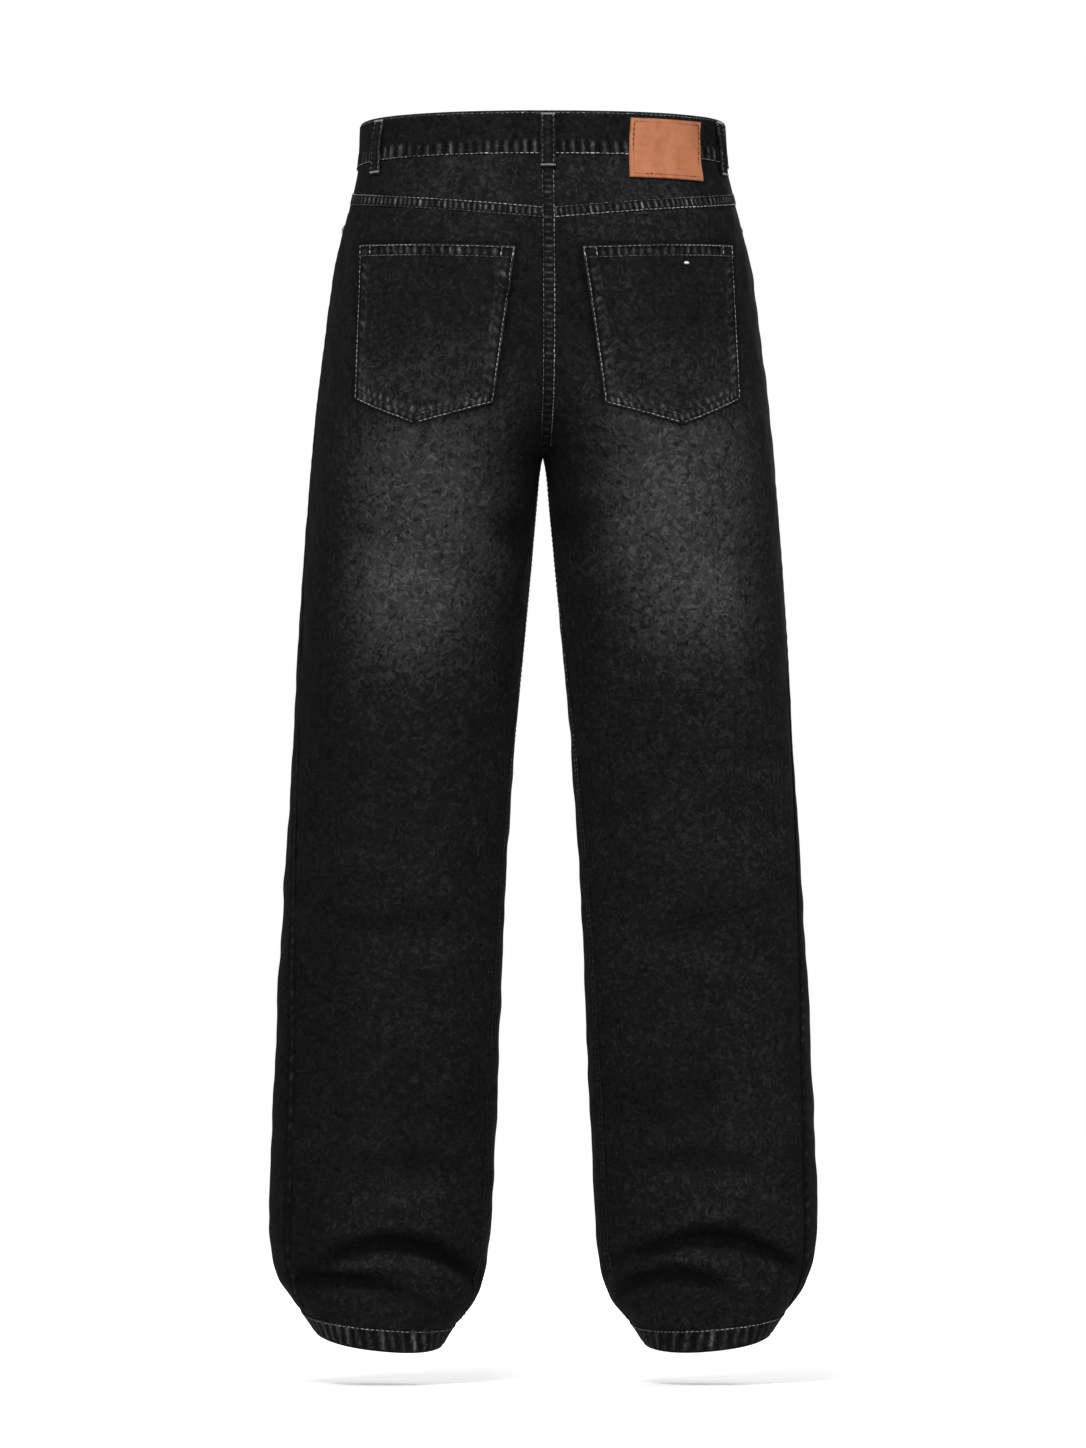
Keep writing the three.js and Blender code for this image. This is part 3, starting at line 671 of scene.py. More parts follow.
# Size of the noise, and lines for its whole range
CURLS = ((9.0 * MM, 3.2), (6.0 * MM, 2.4))
UNWORN = 0.24


def math_of(tree, operation, *values):
    """The result of a math node on output sockets."""
    links = dict(enumerate(values))
    return add_node(tree, "ShaderNodeMath", {"operation": operation}, links=links).outputs[0]


def curled_strokes(tree):
    """Thin bent strokes, each with a light side, above 0, and a dark side, below 0."""
    total = None
    for size, lines in CURLS:
        field = noise_of(tree, size, Detail=1.0, Distortion=0.4)
        broken = between(tree, noise_of(tree, size * 0.9, Detail=0.0), 0.38, 0.48)
        wave = math_of(tree, "SINE", times_plus(tree, field, 2 * np.pi * lines, 0.0))
        squared = math_of(tree, "MULTIPLY", wave, wave)
        thin = math_of(tree, "MULTIPLY", squared, wave)
        part = math_of(tree, "MULTIPLY", thin, broken)
        total = part if total is None else math_of(tree, "ADD", total, part)
    return total


def washed_denim(name, stops):
    """Cotton twill, dyed black and stone washed, coloured from a map of wear and painted shade. stops
    are its colours from unworn to bare.
    """
    material, tree, shader = new_material(name)
    uv = add_node(tree, "ShaderNodeUVMap", {"uv_map": "cloth"})
    wear = add_node(tree, "ShaderNodeAttribute", {"attribute_name": "wear"})
    split = add_node(tree, "ShaderNodeSeparateXYZ", links={"Vector": uv.outputs["UV"]})
    slanted = math_of(tree, "ADD", split.outputs["X"], split.outputs["Y"])
    turns = times_plus(tree, slanted, 2 * np.pi / (TWILL_PITCH * np.sqrt(2)), 0.0)
    ribs = math_of(tree, "SINE", turns)
    strokes = curled_strokes(tree)
    grain = noise_of(tree, GRAIN_SIZE, Detail=3.0, Roughness=0.7)
    cloud = noise_of(tree, CLOUD_SIZE, Detail=3.0, Roughness=0.55)
    # The attribute read here is wear with painted shade in it, so shaded places fall below the unworn
    # colour.
    worn_and_shaded = times_plus(tree, cloud, 0.16, wear.outputs["Fac"])
    worn_and_shaded = times_plus(tree, grain, 0.3, worn_and_shaded)
    worn_and_shaded = times_plus(tree, ribs, 0.018, worn_and_shaded)
    depth = between(tree, wear.outputs["Fac"], 0.2, 0.5, 0.075, 0.14)
    worn_and_shaded = math_of(tree, "ADD", math_of(tree, "MULTIPLY", strokes, depth), worn_and_shaded)
    worn_and_shaded = times_plus(tree, worn_and_shaded, 1.0, -0.3)
    tree.links.new(ramp_of(tree, worn_and_shaded, stops), shader.inputs["Base Color"])
    height = times_plus(tree, ribs, 0.25, grain)
    height = times_plus(tree, strokes, 0.35, height)
    tree.links.new(bump_of(tree, height, 0.7, 0.5 * MM), shader.inputs["Normal"])
    tree.links.new(between(tree, grain, 0.3, 0.7, 0.86, 0.97), shader.inputs["Roughness"])
    shader.inputs["Specular IOR Level"].default_value = 0.06
    print("denim:", name, [colour for _, colour in stops])
    return material


denim = washed_denim(
    "black_washed_twill_denim",
    ((0.0, "060606"), (0.22, "171717"), (0.5, "353535"), (0.75, "525252"), (1.0, "808080")),
)


# %% [markdown]
# Seams on such jeans are sewn with dark polyester thread that has washed to grey. The thread shines
# a little more than cotton and stands proud of the cloth, so it catches light as a broken line.

# %% Thread, leather and metals
def washed_thread():
    """Corespun polyester thread, dyed black and washed grey. Its brightness is read from its wear and
    painted shade.
    """
    material, tree, shader = new_material("washed_grey_polyester_thread")
    wear = add_node(tree, "ShaderNodeAttribute", {"attribute_name": "wear"})
    stops = ((0.0, "161616"), (0.3, "3c3c3c"), (0.6, "7c7c7c"), (0.9, "bdbdbd"), (1.0, "f6f6f6"))
    shade = times_plus(tree, noise_of(tree, 5 * MM, Detail=2.0), 0.3, wear.outputs["Fac"])
    shade = times_plus(tree, shade, 1.0, -0.15)
    tree.links.new(ramp_of(tree, shade, stops), shader.inputs["Base Color"])
    shader.inputs["Roughness"].default_value = 0.7
    shader.inputs["Specular IOR Level"].default_value = 0.25
    return material


def tanned_leather():
    """Vegetable tanned cowhide, drum dyed tan and tumbled soft by the wash."""
    material, tree, shader = new_material("vegetable_tanned_cowhide")
    edge = add_node(tree, "ShaderNodeAttribute", {"attribute_name": "wear"})
    blotch = noise_of(tree, 11 * MM, Detail=6.0, Roughness=0.6)
    shade = times_plus(tree, edge.outputs["Fac"], -0.55, blotch)
    stops = ((0.0, "7d4a31"), (0.32, "a4664a"), (0.5, "b2704e"), (0.8, "bd7b57"))
    tree.links.new(ramp_of(tree, shade, stops), shader.inputs["Base Color"])
    grain = noise_of(tree, 0.9 * MM, Detail=3.0, Roughness=0.6)
    tree.links.new(bump_of(tree, grain, 0.35, 0.2 * MM), shader.inputs["Normal"])
    shader.inputs["Roughness"].default_value = 0.68
    shader.inputs["Specular IOR Level"].default_value = 0.2
    return material


def plated_metal(name, low, high, roughness):
    """Brass plated with nickel, tumbled so that its high spots are bright and its hollows dull."""
    material, tree, shader = new_material(name)
    tarnish = noise_of(tree, 2.5 * MM, Detail=5.0)
    tree.links.new(ramp_of(tree, tarnish, ((0.3, low), (0.65, high))), shader.inputs["Base Color"])
    rough = between(tree, tarnish, 0.3, 0.7, roughness - 0.06, roughness + 0.12)
    tree.links.new(rough, shader.inputs["Roughness"])
    shader.inputs["Metallic"].default_value = 1.0
    return material


thread = washed_thread()
leather = tanned_leather()
rivet_metal = plated_metal("nickel_plated_brass_rivet", "6b6a68", "b9b8b4", 0.34)
button_metal = plated_metal("nickel_plated_brass_button", "5e5d5b", "aaa9a6", 0.38)
print("thread, leather and metals are ready")


# %% [markdown]
# Wear is where this cloth tells its story. On the back the thighs are palest below the pockets,
# with a fairly straight edge towards the side seam, and the seat is a little worn too. On the front
# the thighs rub most, and the folds from the crotch wear into whiskers. A few spots darken instead,
# with painted shade in the hollow beside the seat seam and on the outer side of the left leg. Each worn
# or shaded place is a soft spot on the map of level and angle, so it is stated in the same terms as a
# fold.

# %% Worn places and painted shade
WORN_AND_SHADED = table(
    ("leg", "angle", "level", "turn", "height", "amount"),
    [
        (1, 88, -355, 38, 120, 0.27),
        (1, 83, -415, 22, 62, 0.09),
        # Painted shade: the next two rows darken the hollow beside the seat seam.
        (1, 98, -160, 16, 70, -0.06),
        (1, 124, -250, 20, 60, -0.07),
        (1, 104, -318, 24, 50, 0.04),
        (1, 80, -245, 38, 45, 0.04),
        (1, 58, -62, 27, 55, 0.07),
        # Painted shade: this row darkens the outer side of the left leg.
        (1, 24, -640, 40, 520, -0.06),
        (-1, 83, -343, 38, 116, 0.29),
        (-1, 78, -400, 22, 60, 0.08),
        # Painted shade: the next two rows darken the hollow beside the seat seam.
        (-1, 98, -160, 16, 70, -0.06),
        (-1, 124, -250, 20, 60, -0.07),
        (-1, 104, -312, 24, 50, 0.04),
        (-1, 80, -245, 38, 45, 0.04),
        (-1, 58, -62, 27, 55, 0.07),
        (-1, 44, -640, 34, 520, 0.03),
        (1, -88, -385, 40, 130, 0.42),
        (-1, -88, -390, 40, 130, 0.42),
        (1, -92, -640, 34, 90, 0.16),
        (-1, -92, -645, 34, 90, 0.16),
    ],
)


def wear_and_shade_at(leg, level, angle):
    """Wear and painted shade from 0 to 1. Places rub pale, fold tops are paler from wear and a painted
    highlight, and fold troughs are darkened by painted shade.
    """
    total = np.full(np.broadcast(level, angle).shape, UNWORN)
    for i in np.flatnonzero(WORN_AND_SHADED["leg"] == leg):
        turn = (angle - WORN_AND_SHADED["angle"][i]) / WORN_AND_SHADED["turn"][i]
        down = (level - WORN_AND_SHADED["level"][i]) / WORN_AND_SHADED["height"][i]
        total = total + WORN_AND_SHADED["amount"][i] * np.exp(-np.abs(turn) ** 3 - np.abs(down) ** 3)
    # Fold tops are paler, partly from wear and partly as a painted highlight. Fold troughs get painted
    # shade.
    tops = np.clip(fold_at(leg, level, angle), -4, 4)
    fold_wear_and_shade = 0.02 * tops + 0.03 * np.minimum(tops, 0)
    return np.clip(total + fold_wear_and_shade, 0, 1)


print("worn places:", len(WORN_AND_SHADED["leg"]))


# %% [markdown]
# A seam pulls the cloth beside it into a shallow valley, and the folded layers inside it make a
# ridge that puckers, because thread and cloth shrink by different amounts. Denim makers call the
# marks roping. A strip with its own fine grid lies over each felled seam: it is raised between its
# two rows of stitches and ripples slantwise, with its ripple tops worn pale.

# %% Seam strips
FELLED_PITCH = 5.6
STRIP_STEP = 1.1


def read_at(places, at, values):
    """Rows of values that belong to the distances at, read at other distances."""
    return np.stack([np.interp(places, at, values[:, i]) for i in range(3)], -1)


def rope(along, across, seed, pitch, slant=0.45, sharp=2.6):
    """From 0 to 1, the uneven puckers of a seam. across is from -1 to 1."""
    random = np.random.default_rng(seed)
    knots = np.arange(along.min(), along.max() + 2 * pitch, pitch * 1.3)
    drift = np.interp(along, knots, np.cumsum(random.normal(0, 0.2, len(knots))))
    strong = np.interp(along, knots, random.uniform(0.25, 1.0, len(knots)))
    phase = along / pitch + drift + slant * across
    return (0.5 + 0.5 * np.sin(2 * np.pi * phase)) ** sharp * strong


def path_on(leg, levels, angles, off):
    """A line on the surface, and the direction out of the cloth along it."""
    points = surface(leg, levels, angles, off)
    outer = surface(leg, levels, angles, off + 1)
    up = surface(leg, levels + 1, angles, off) - surface(leg, levels - 1, angles, off)
    round_ = surface(leg, levels, angles + 0.5, off) - surface(leg, levels, angles - 0.5, off)
    normal = unit(np.cross(up, round_))
    flip = np.where((normal * (outer - points)).sum(-1, keepdims=True) < 0, -1, 1)
    return points, normal * flip


def frame_along(points, normals, step):
    """Even points along a line with their normals and sideways directions."""
    length = np.concatenate([[0], np.cumsum(np.linalg.norm(np.diff(points, axis=0), axis=1))])
    at = np.linspace(0, length[-1], max(int(round(length[-1] / step)) + 1, 3))
    even = read_at(at, length, points)
    normal = unit(read_at(at, length, normals))
    tangent = unit(np.gradient(even, axis=0))
    return even, normal, unit(np.cross(normal, tangent)), at


def strip_wall(piece, base, normal, across, at, seed, pitch, height, amount, slant=0.08):
    """A raised, puckered wall over a grid of places, darkened along both edges by painted shade."""
    ripple = rope(at[:, None], across[None, :], seed, pitch, slant, sharp=3.0)
    crown = np.clip(1 - np.abs(across) ** 6, 0, 1)
    lift = 0.05 + crown * height * (0.5 + 0.5 * ripple)
    # Painted shade: the strip darkens towards both edges, where it meets the cloth.
    hollow = 0.16 * smooth(np.abs(across), 0.78, 0.98)
    pale = ripple * (1 - smooth(np.abs(across), 0.3, 0.85))
    wear = UNWORN - 0.05 + 1.4 * amount * pale - hollow
    piece.wall(base + normal * lift[..., None], base - normal * 0.1, wear)


def seam_strip(piece, line, width, seed, pitch=FELLED_PITCH, height=0.75, amount=0.7):
    """A strip along a line given as points and normals."""
    even, normal, side, at = frame_along(*line, STRIP_STEP)
    across = np.linspace(-1, 1, 11)
    base = even[:, None] + side[:, None] * (across * width / 2)[None, :, None]
    normals = np.repeat(normal[:, None], len(across), axis=1)
    strip_wall(piece, base, normals, across, at, seed, pitch, height, amount)


def middle_place(is_back, level, x, off=0.0):
    """Points and normals where the surface meets x, on either side of the middle."""
    leg = 1 if x >= 0 else -1
    level = np.asarray(level, float)
    angle = angle_at_plane(leg, level, is_back, max(abs(x), HALF_GAP), off)
    return path_on(leg, level, angle, off)


def middle_strip(piece, is_back, top, bottom, width, seed, height=0.75, amount=0.36):
    """A strip down the middle of the body, which follows the hollow between the legs."""
    level = np.arange(top, bottom, -STRIP_STEP)
    across = np.linspace(-1, 1, 12)
    columns = [middle_place(is_back, level, a * width / 2) for a in across]
    base = np.stack([points for points, _ in columns], axis=1)
    normal = unit(np.stack([normals for _, normals in columns], axis=1))
    strip_wall(piece, base, normal, across, top - level, seed, FELLED_PITCH, height, amount)


print("seams pucker every", FELLED_PITCH, "mm, on a grid of", STRIP_STEP, "mm")


# %% [markdown]
# A stitch is a short bar of thread that dives into the cloth at both ends. Hundreds of them share a
# mesh, made from arrays, which keeps the scene light. Bar tacks are the same bar, set close
# together across the end of a loop or a pocket.

# %% Stitches
STITCH = 3.4
STITCH_GAP = 1.0
THREAD = 0.62
TACK_THREAD = 2.0
stitches = {}


def stitch_piece(name):
    """The mesh that collects stitches of one kind."""
    if name not in stitches:
        stitches[name] = Piece(name)
    return stitches[name]


def sew(name, centres, along, out, length, bright, thickness=THREAD):
    """Bars of thread at centres, each lying along one direction and standing out in another."""
    stations = ((-0.5, -0.35, 0.5), (-0.28, 0.12, 1.0), (0.28, 0.12, 1.0), (0.5, -0.35, 0.5))
    side = unit(np.cross(along, out))
    rings = []
    for place, lift, size in stations:
        middle = centres + along * (place * length) + out * (lift * thickness)
        for s, o in ((-1, 0), (0, 1), (1, 0), (0, -1)):
            rings.append(middle + (side * s * 0.62 + out * o * 0.45) * thickness * size)
    points = np.stack(rings, 1)
    faces = []
    for ring in range(len(stations) - 1):
        for i in range(4):
            j = (i + 1) % 4
            faces.append([ring * 4 + i, ring * 4 + j, ring * 4 + 4 + j, ring * 4 + 4 + i])
    faces.append([3, 2, 1, 0])
    last = (len(stations) - 1) * 4
    faces.append([last, last + 1, last + 2, last + 3])
    faces = np.array(faces)
    many, size = points.shape[:2]
    every = (faces[None] + (np.arange(many) * size)[:, None, None]).reshape(-1, 4)
    wear = np.repeat(np.broadcast_to(bright, many), size)
    stitch_piece(name).take(points.reshape(-1, 3), every, wear)


def sew_line(name, line, aside=0.0, lift=0.25, start=2.0, end=2.0, seed=0, bright=0.6):
    """A row of stitches along a line given as points and normals, moved sideways by aside."""
    even, normal, side, at = frame_along(*line, 1.0)
    moved = even + side * aside + normal * lift
    tangent = unit(np.gradient(moved, axis=0))
    places = np.arange(start + STITCH / 2, at[-1] - end, STITCH + STITCH_GAP)
    if len(places) == 0:
        return
    random = np.random.default_rng(seed)
    aside_here = read_at(places, at, side)
    centres = read_at(places, at, moved) + aside_here * random.normal(0, 0.1, (len(places), 1))
    patchy = np.interp(places, np.linspace(0, at[-1], 12), random.uniform(-0.3, 0.14, 12))
    shade = bright + patchy + random.normal(0, 0.09, len(places))
    along, out = unit(read_at(places, at, tangent)), unit(read_at(places, at, normal))
    sew(name, centres, along, out, STITCH, shade)


def bar_tack(name, middle, along, out, length, count=13, bright=0.7):
    """A bar tack: a dense row of short threads across a line of the given length."""
    side = unit(np.cross(along, out))
    places = (np.arange(count) / (count - 1) - 0.5) * length
    centres = middle + along * places[:, None] + out * 0.15
    ways = np.broadcast_to(side, centres.shape), np.broadcast_to(out, centres.shape)
    sew(name, centres, *ways, TACK_THREAD, bright)


print("stitches to the centimetre:", round(10 / (STITCH + STITCH_GAP), 1))


# %% [markdown]
# The legs are four long panels. Each is a grid between two edges: the side seam, and the inside
# seam with the rise above it. The grid is finest at its edges, where the cloth rolls into the seam.

# %% Panels
GRID = 3.3
PANEL_WIDTH = 230.0
# Distances of the first grid columns from a seam, where the cloth rolls in
NEAR_SEAM = (0, 0.9, 2.2)
EDGE_FADE = 14
# Corners of a back pocket: distance from the middle and height, both as seen from behind
POCKET = {
    "inner_top": (28.7, -107.5),
    "outer_top": (159.5, -105.5),
    "outer_bottom": (166.0, -240.0),
    "tip": (116.0, -262.0),
    "inner_bottom": (49.0, -243.5),
}


def painted_pocket_shadow(points):
    """From 0 to 1, how close points lie to a pocket's outline, where the panel gets painted shade."""
    place = np.stack([np.abs(points[..., 0]), points[..., 2]], -1)
    corners = [np.array(corner) for corner in POCKET.values()]
    nearest = np.full(place.shape[:-1], 99.0)
    for start, end in zip(corners, corners[1:] + corners[:1]):
        along = end - start
        t = np.clip(((place - start) @ along) / (along @ along), 0, 1)
        nearest = np.minimum(nearest, np.linalg.norm(place - start - t[..., None] * along, axis=-1))
    return bell(nearest, 3.4)


def shares(count, edge_distances, width):
    """Even shares with extra ones close to both edges."""
    even = np.linspace(0, 1, count)
    near = np.array(edge_distances) / width
    inner = even[(even > near[-1] * 1.4) & (even < 1 - near[-1] * 1.4)]
    return np.concatenate([near, inner, 1 - near[::-1]])


def inside_edges(u):
    """0 at both side edges of a grid and 1 further in. u are distances across it."""
    return smooth(u, 0, EDGE_FADE) * smooth(u[:, -1:] - u, 0, EDGE_FADE)


def side_edge(leg, level, is_back):
    """The angle of a panel's edge at the side seam."""
    at = outseam(level)
    return at + (1 if is_back else -1) * turn_for(leg, level, at, HALF_GAP)


def inner_edge(leg, level, is_back, plane=HALF_GAP):
    """The angle of a panel's edge at the inside seam, and above it at the rise."""
    seam = inseam(level) - (0 if is_back else 360)
    leg_edge = seam + (-1 if is_back else 1) * turn_for(leg, level, seam, HALF_GAP)
    rise_edge = angle_at_plane(leg, level, is_back, plane)
    above = np.minimum(leg_edge, rise_edge) if is_back else np.maximum(leg_edge, rise_edge)
    return np.where(level <= CROTCH, leg_edge, above)


def rows_between(top, bottom, step, dense=()):
    """Levels from top to bottom in even steps, closer inside the dense ranges of (low, high, step)."""
    levels = [top]
    while levels[-1] > bottom:
        now = levels[-1]
        size = min([step] + [s for low, high, s in dense if low < now <= high])
        levels.append(now - size)
    levels[-1] = bottom
    return np.array(levels)


def groove(u, width, depth=0.75, reach=1.8):
    """How far the cloth dips beside the seams at both edges of a panel."""
    return -depth * (bell(u, reach) + bell(width - u, reach))


def axis_inside(points, leg, level):
    """For each point, a point in the middle of the leg or body at its height."""
    centre = outline(level, np.full(np.shape(level), True))[0]
    middle = section["middle"](level)
    ones = np.ones(points.shape[:-1])
    return np.stack([leg * centre * ones, middle * ones, points[..., 2]], -1)


def leg_panel(name, leg, is_back, levels, edges, level_at=None, raise_at=None, seed=0):
    """Makes the grid of one panel. Returns its piece and its grid of points."""
    start, end = edges
    share = shares(int(PANEL_WIDTH / GRID), NEAR_SEAM, PANEL_WIDTH)[None, :]
    level = levels[:, None] * np.ones_like(share)
    if level_at is not None:
        level = level_at(level, share)
    flat = level.reshape(-1)
    low = start(flat).reshape(level.shape) if level_at is not None else start(levels)[:, None]
    high = end(flat).reshape(level.shape) if level_at is not None else end(levels)[:, None]
    angle = angles_between(level, is_back, low, high, share)
    plain = surface(leg, level, angle)
    u, v = distances(plain)
    wide = u[:, -1:]
    off = unevenness(u, v, seed) * inside_edges(u) + groove(u, wide)
    if raise_at is not None:
        off = off + raise_at(level, plain[..., 0] * leg)
    outer = surface(leg, level, angle, off)
    edge_x = np.abs(plain[:, -1, 0])
    rise = (level[:, -1] > CROTCH) & (edge_x < LAP + 1)
    outer[rise, -1, 0] = plain[rise, -1, 0]
    inner = inner_layer(outer, DENIM, axis_inside(outer, leg, level))
    inner[rise, -1, 0] = plain[rise, -1, 0]
    # Painted shade: the cloth darkens within a few millimetres of both seams, where it dips into the
    # seam's valley.
    beside = np.exp(-u / 3) + np.exp(-(wide - u) / 3)
    wear = wear_and_shade_at(leg, level, angle) - 0.08 * beside
    # Painted shade: the back panels darken in a thin line round each pocket's outline.
    if is_back:
        wear = wear - 0.17 * painted_pocket_shadow(outer)
    piece = Piece(name)
    piece.wall(outer, inner, wear)
    return piece, outer


def finish_cloth(piece, grid, node, material):
    """Makes the mesh and lets it stand for its node, which is hidden."""
    cloth = piece.make(material)
    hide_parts(node)


print("panel grids are about", GRID, "mm wide")


# %% [markdown]
# A back panel is one piece from the yoke to the hem. Its top edge follows the yoke, which drops
# towards the middle of the seat, so the upper rows of its grid fan out until they run level. Grids
# are worked out here and become meshes later, when the strips that lie on them are there too.

# %% Back panels
def yoke_level(share):
    """The level of the yoke's lower edge, from the side seam to the middle."""
    return YOKE_SIDE + (YOKE_MIDDLE - YOKE_SIDE) * share


def back_level(level, share):
    """Levels of a back panel's rows, bent to follow the yoke near the top."""
    top = yoke_level(share) - HALF_GAP
    gone = (level - YOKE_SIDE) / (BELOW_YOKE - YOKE_SIDE)
    return np.where(level > BELOW_YOKE, top + (BELOW_YOKE - top) * gone, level)


LEG_DENSE = ((CROTCH - 6, CROTCH + 22, 1.2), (HEM, HEM + 110, 2.4))
SIDES = ((1, "left"), (-1, "right"))
back_grids = {}
for leg, side in SIDES:
    levels = rows_between(YOKE_SIDE, HEM, GRID, LEG_DENSE)
    edges = (
        lambda level, leg=leg: side_edge(leg, level, True),
        lambda level, leg=leg: inner_edge(leg, level, True),
    )
    name = f"back_panel_{side}_cloth"
    back_grids[side] = leg_panel(name, leg, True, levels, edges, back_level, seed=10 + leg)
    print(side, "back panel grid:", back_grids[side][1].shape[:2])


# %% [markdown]
# The yoke is the shaped strip between the waistband and the back panels that gives the seat its
# curve. It is felled over the panels with two rows of stitches, and the seat seam below it is
# felled the same way, which is why both show as a raised, puckered band.

# %% Yokes
YOKE_COLUMNS = 70
YOKE_ROWS = 14
yoke_grids = {}
for leg, side in SIDES:
    share = shares(YOKE_COLUMNS, NEAR_SEAM, PANEL_WIDTH)[None, :]
    down = np.linspace(0, 1, YOKE_ROWS)[:, None]
    top = WAIST_SEAM - HALF_GAP
    level = top + (yoke_level(share) + HALF_GAP - top) * down
    flat = level.reshape(-1)
    low = side_edge(leg, flat, True).reshape(level.shape)
    high = inner_edge(leg, flat, True).reshape(level.shape)
    angle = angles_between(level, True, low, high, share)
    u, v = distances(surface(leg, level, angle))
    off = unevenness(u, v, 30 + leg, 0.2) * inside_edges(u)
    grid = surface(leg, level, angle, off + groove(u, u[:, -1:]))
    grid[:, -1, 0] = leg * HALF_GAP
    inner = inner_layer(grid, DENIM, axis_inside(grid, leg, level))
    inner[:, -1, 0] = leg * HALF_GAP
    yoke = Piece(f"back_yoke_{side}_cloth")
    yoke.wall(grid, inner, wear_and_shade_at(leg, level, angle))
    yoke_grids[side] = (yoke, grid)
    print(side, "yoke grid:", grid.shape[:2])


# %% [markdown]
# Two rows of stitches hold a felled seam, one near each edge of its raised band. Here they are sewn
# on the yoke and down the seat. One row of each pair is given a paler thread than the other.

# %% Seam strips on the back
SEAM_BAND = 10.5
ROW_APART = 8.6
SEAT_TOP = WAIST_SEAM - 12
RISE_END = CROTCH + 4


def line_across(leg, level_at, start, end, is_back, off=0.0, many=120):
    """A line from the side seam to the middle, along a level that depends on the share."""
    share = np.linspace(start, end, many)
    level = level_at(share)
    low, high = side_edge(leg, level, is_back), inner_edge(leg, level, is_back)
    return path_on(leg, level, angles_between(level, is_back, low, high, share), off)


for leg, side in SIDES:
    line = line_across(leg, lambda share: yoke_level(share) + 0.8, 0.005, 0.985, True)
    seam_strip(yoke_grids[side][0], line, SEAM_BAND, 40 + leg)
    for aside, bright in ((ROW_APART / 2, 0.72), (-ROW_APART / 2, 0.4)):
        sew_line("stitches_back", line, aside, lift=0.55, seed=41 + leg, bright=bright)
middle_strip(back_grids["left"][0], True, SEAT_TOP, RISE_END, SEAM_BAND + 1, 44, 0.85)
for aside, bright in ((ROW_APART / 2 + 0.5, 0.36), (-ROW_APART / 2 - 0.5, 0.62)):
    line = middle_place(True, np.arange(SEAT_TOP, RISE_END, -4.0), aside)
    sew_line("stitches_back", line, lift=0.6, seed=3, bright=bright)
print("points of stitching on the back:", stitches["stitches_back"].count)


# %% [markdown]
# Along the legs, the inside seam is felled like the seat seam, and the side seam is closed and
# pressed open. From outside the side seam is a valley with faint puckers along one side, where an
# allowance inside presses through.

# %% Leg seams
LEG_SEAM_END = HEM + HEM_FOLD + 2


def inside_seam(level):
    return inseam(level) - 2.2


def leg_line(leg, angle_at, top, step=6.0):
    """A line down a leg, from top to the hem."""
    level = np.arange(top, LEG_SEAM_END, -step)
    return path_on(leg, level, angle_at(level), 0.0)


def press_through(piece, line, seed, aside):
    """A low welt beside a seam where an allowance lies inside."""
    even, normal, side, at = frame_along(*line, 2.0)
    across = np.linspace(-1, 1, 7)
    ripple = rope(at[:, None], across[None, :], seed, 13.0, slant=0.12, sharp=1.6)
    crown = np.clip(1 - across**4, 0, 1)
    place = even[:, None] + side[:, None] * (aside + across * 3.6)[None, :, None]
    outer = place + normal[:, None] * (0.02 + crown * (0.18 + 0.4 * ripple))[..., None]
    piece.wall(outer, place - normal[:, None] * 0.3, UNWORN - 0.14 + 0.34 * ripple * crown)


for leg, side in SIDES:
    body = back_grids[side][0]
    inside = leg_line(leg, inside_seam, CROTCH - 8)
    seam_strip(body, inside, 9.0, 50 + leg, height=0.55, amount=0.16)
    for aside in (3.4, -3.4):
        sew_line("stitches_legs", inside, aside, lift=0.4, seed=5, bright=0.2)
    outside = leg_line(leg, outseam, YOKE_SIDE - 12)
    press_through(body, outside, 54 + leg, 4.6)
print("leg seams are on")


# %% [markdown]
# Front panels end at the curved pocket mouths. The wearer's left one laps over the right as far as
# the fly runs, so its edge is moved past the middle and lifted by one wall.

# %% Front panels
LAP_RAISE = DENIM + SEAM_GAP


def mouth_distance(level):
    """How far the pocket mouth is from the side seam."""
    down = np.clip((WAIST_SEAM - level) / MOUTH_DEPTH, 0, 1)
    return MOUTH_WIDTH * np.sqrt(1 - down * down)


def front_edge(leg, level):
    mouth = angle_at_distance(leg, level, np.maximum(mouth_distance(level), HALF_GAP), -1)
    return np.where(level <= MOUTH_END, side_edge(leg, level, False), mouth)


def middle_plane(_):
    """Where the front panel beneath ends: at the middle, at any level."""
    return HALF_GAP


def lap_plane(level):
    """Where the upper front panel ends: past the middle down to the fly's end."""
    return HALF_GAP + (-LAP - HALF_GAP) * smooth(level, FLY_END, FLY_END + 8)


def lap_raise(level, x):
    """How far the upper front panel is lifted by the one beneath."""
    down = smooth(level, FLY_END - 20, FLY_END - 4)
    return (LAP_RAISE + 0.35) * down * (1 - smooth(x, 10, 40))


front_grids = {}
for leg, side in SIDES:
    turns = np.radians(np.arange(0, 90, 3.0))
    mouth = WAIST_SEAM - HALF_GAP - (MOUTH_DEPTH - HALF_GAP) * np.sin(turns)
    levels = np.concatenate([mouth, rows_between(MOUTH_END, HEM, GRID, LEG_DENSE)])
    laps = leg > 0
    plane = lap_plane if laps else middle_plane
    edges = (
        lambda level, leg=leg: front_edge(leg, level),
        lambda level, leg=leg, plane=plane: inner_edge(leg, level, False, plane(level)),
    )
    name = f"front_panel_{side}_cloth"
    lift = lap_raise if laps else None
    front_grids[side] = leg_panel(name, leg, False, levels, edges, raise_at=lift, seed=20 + leg)
    print(side, "front panel grid:", front_grids[side][1].shape[:2])


# %% [markdown]
# Two rows of stitches follow each pocket mouth, and two more hold the fly's facing in the shape of a
# J. They lie on the face of a panel, so each needs only a line on the surface.

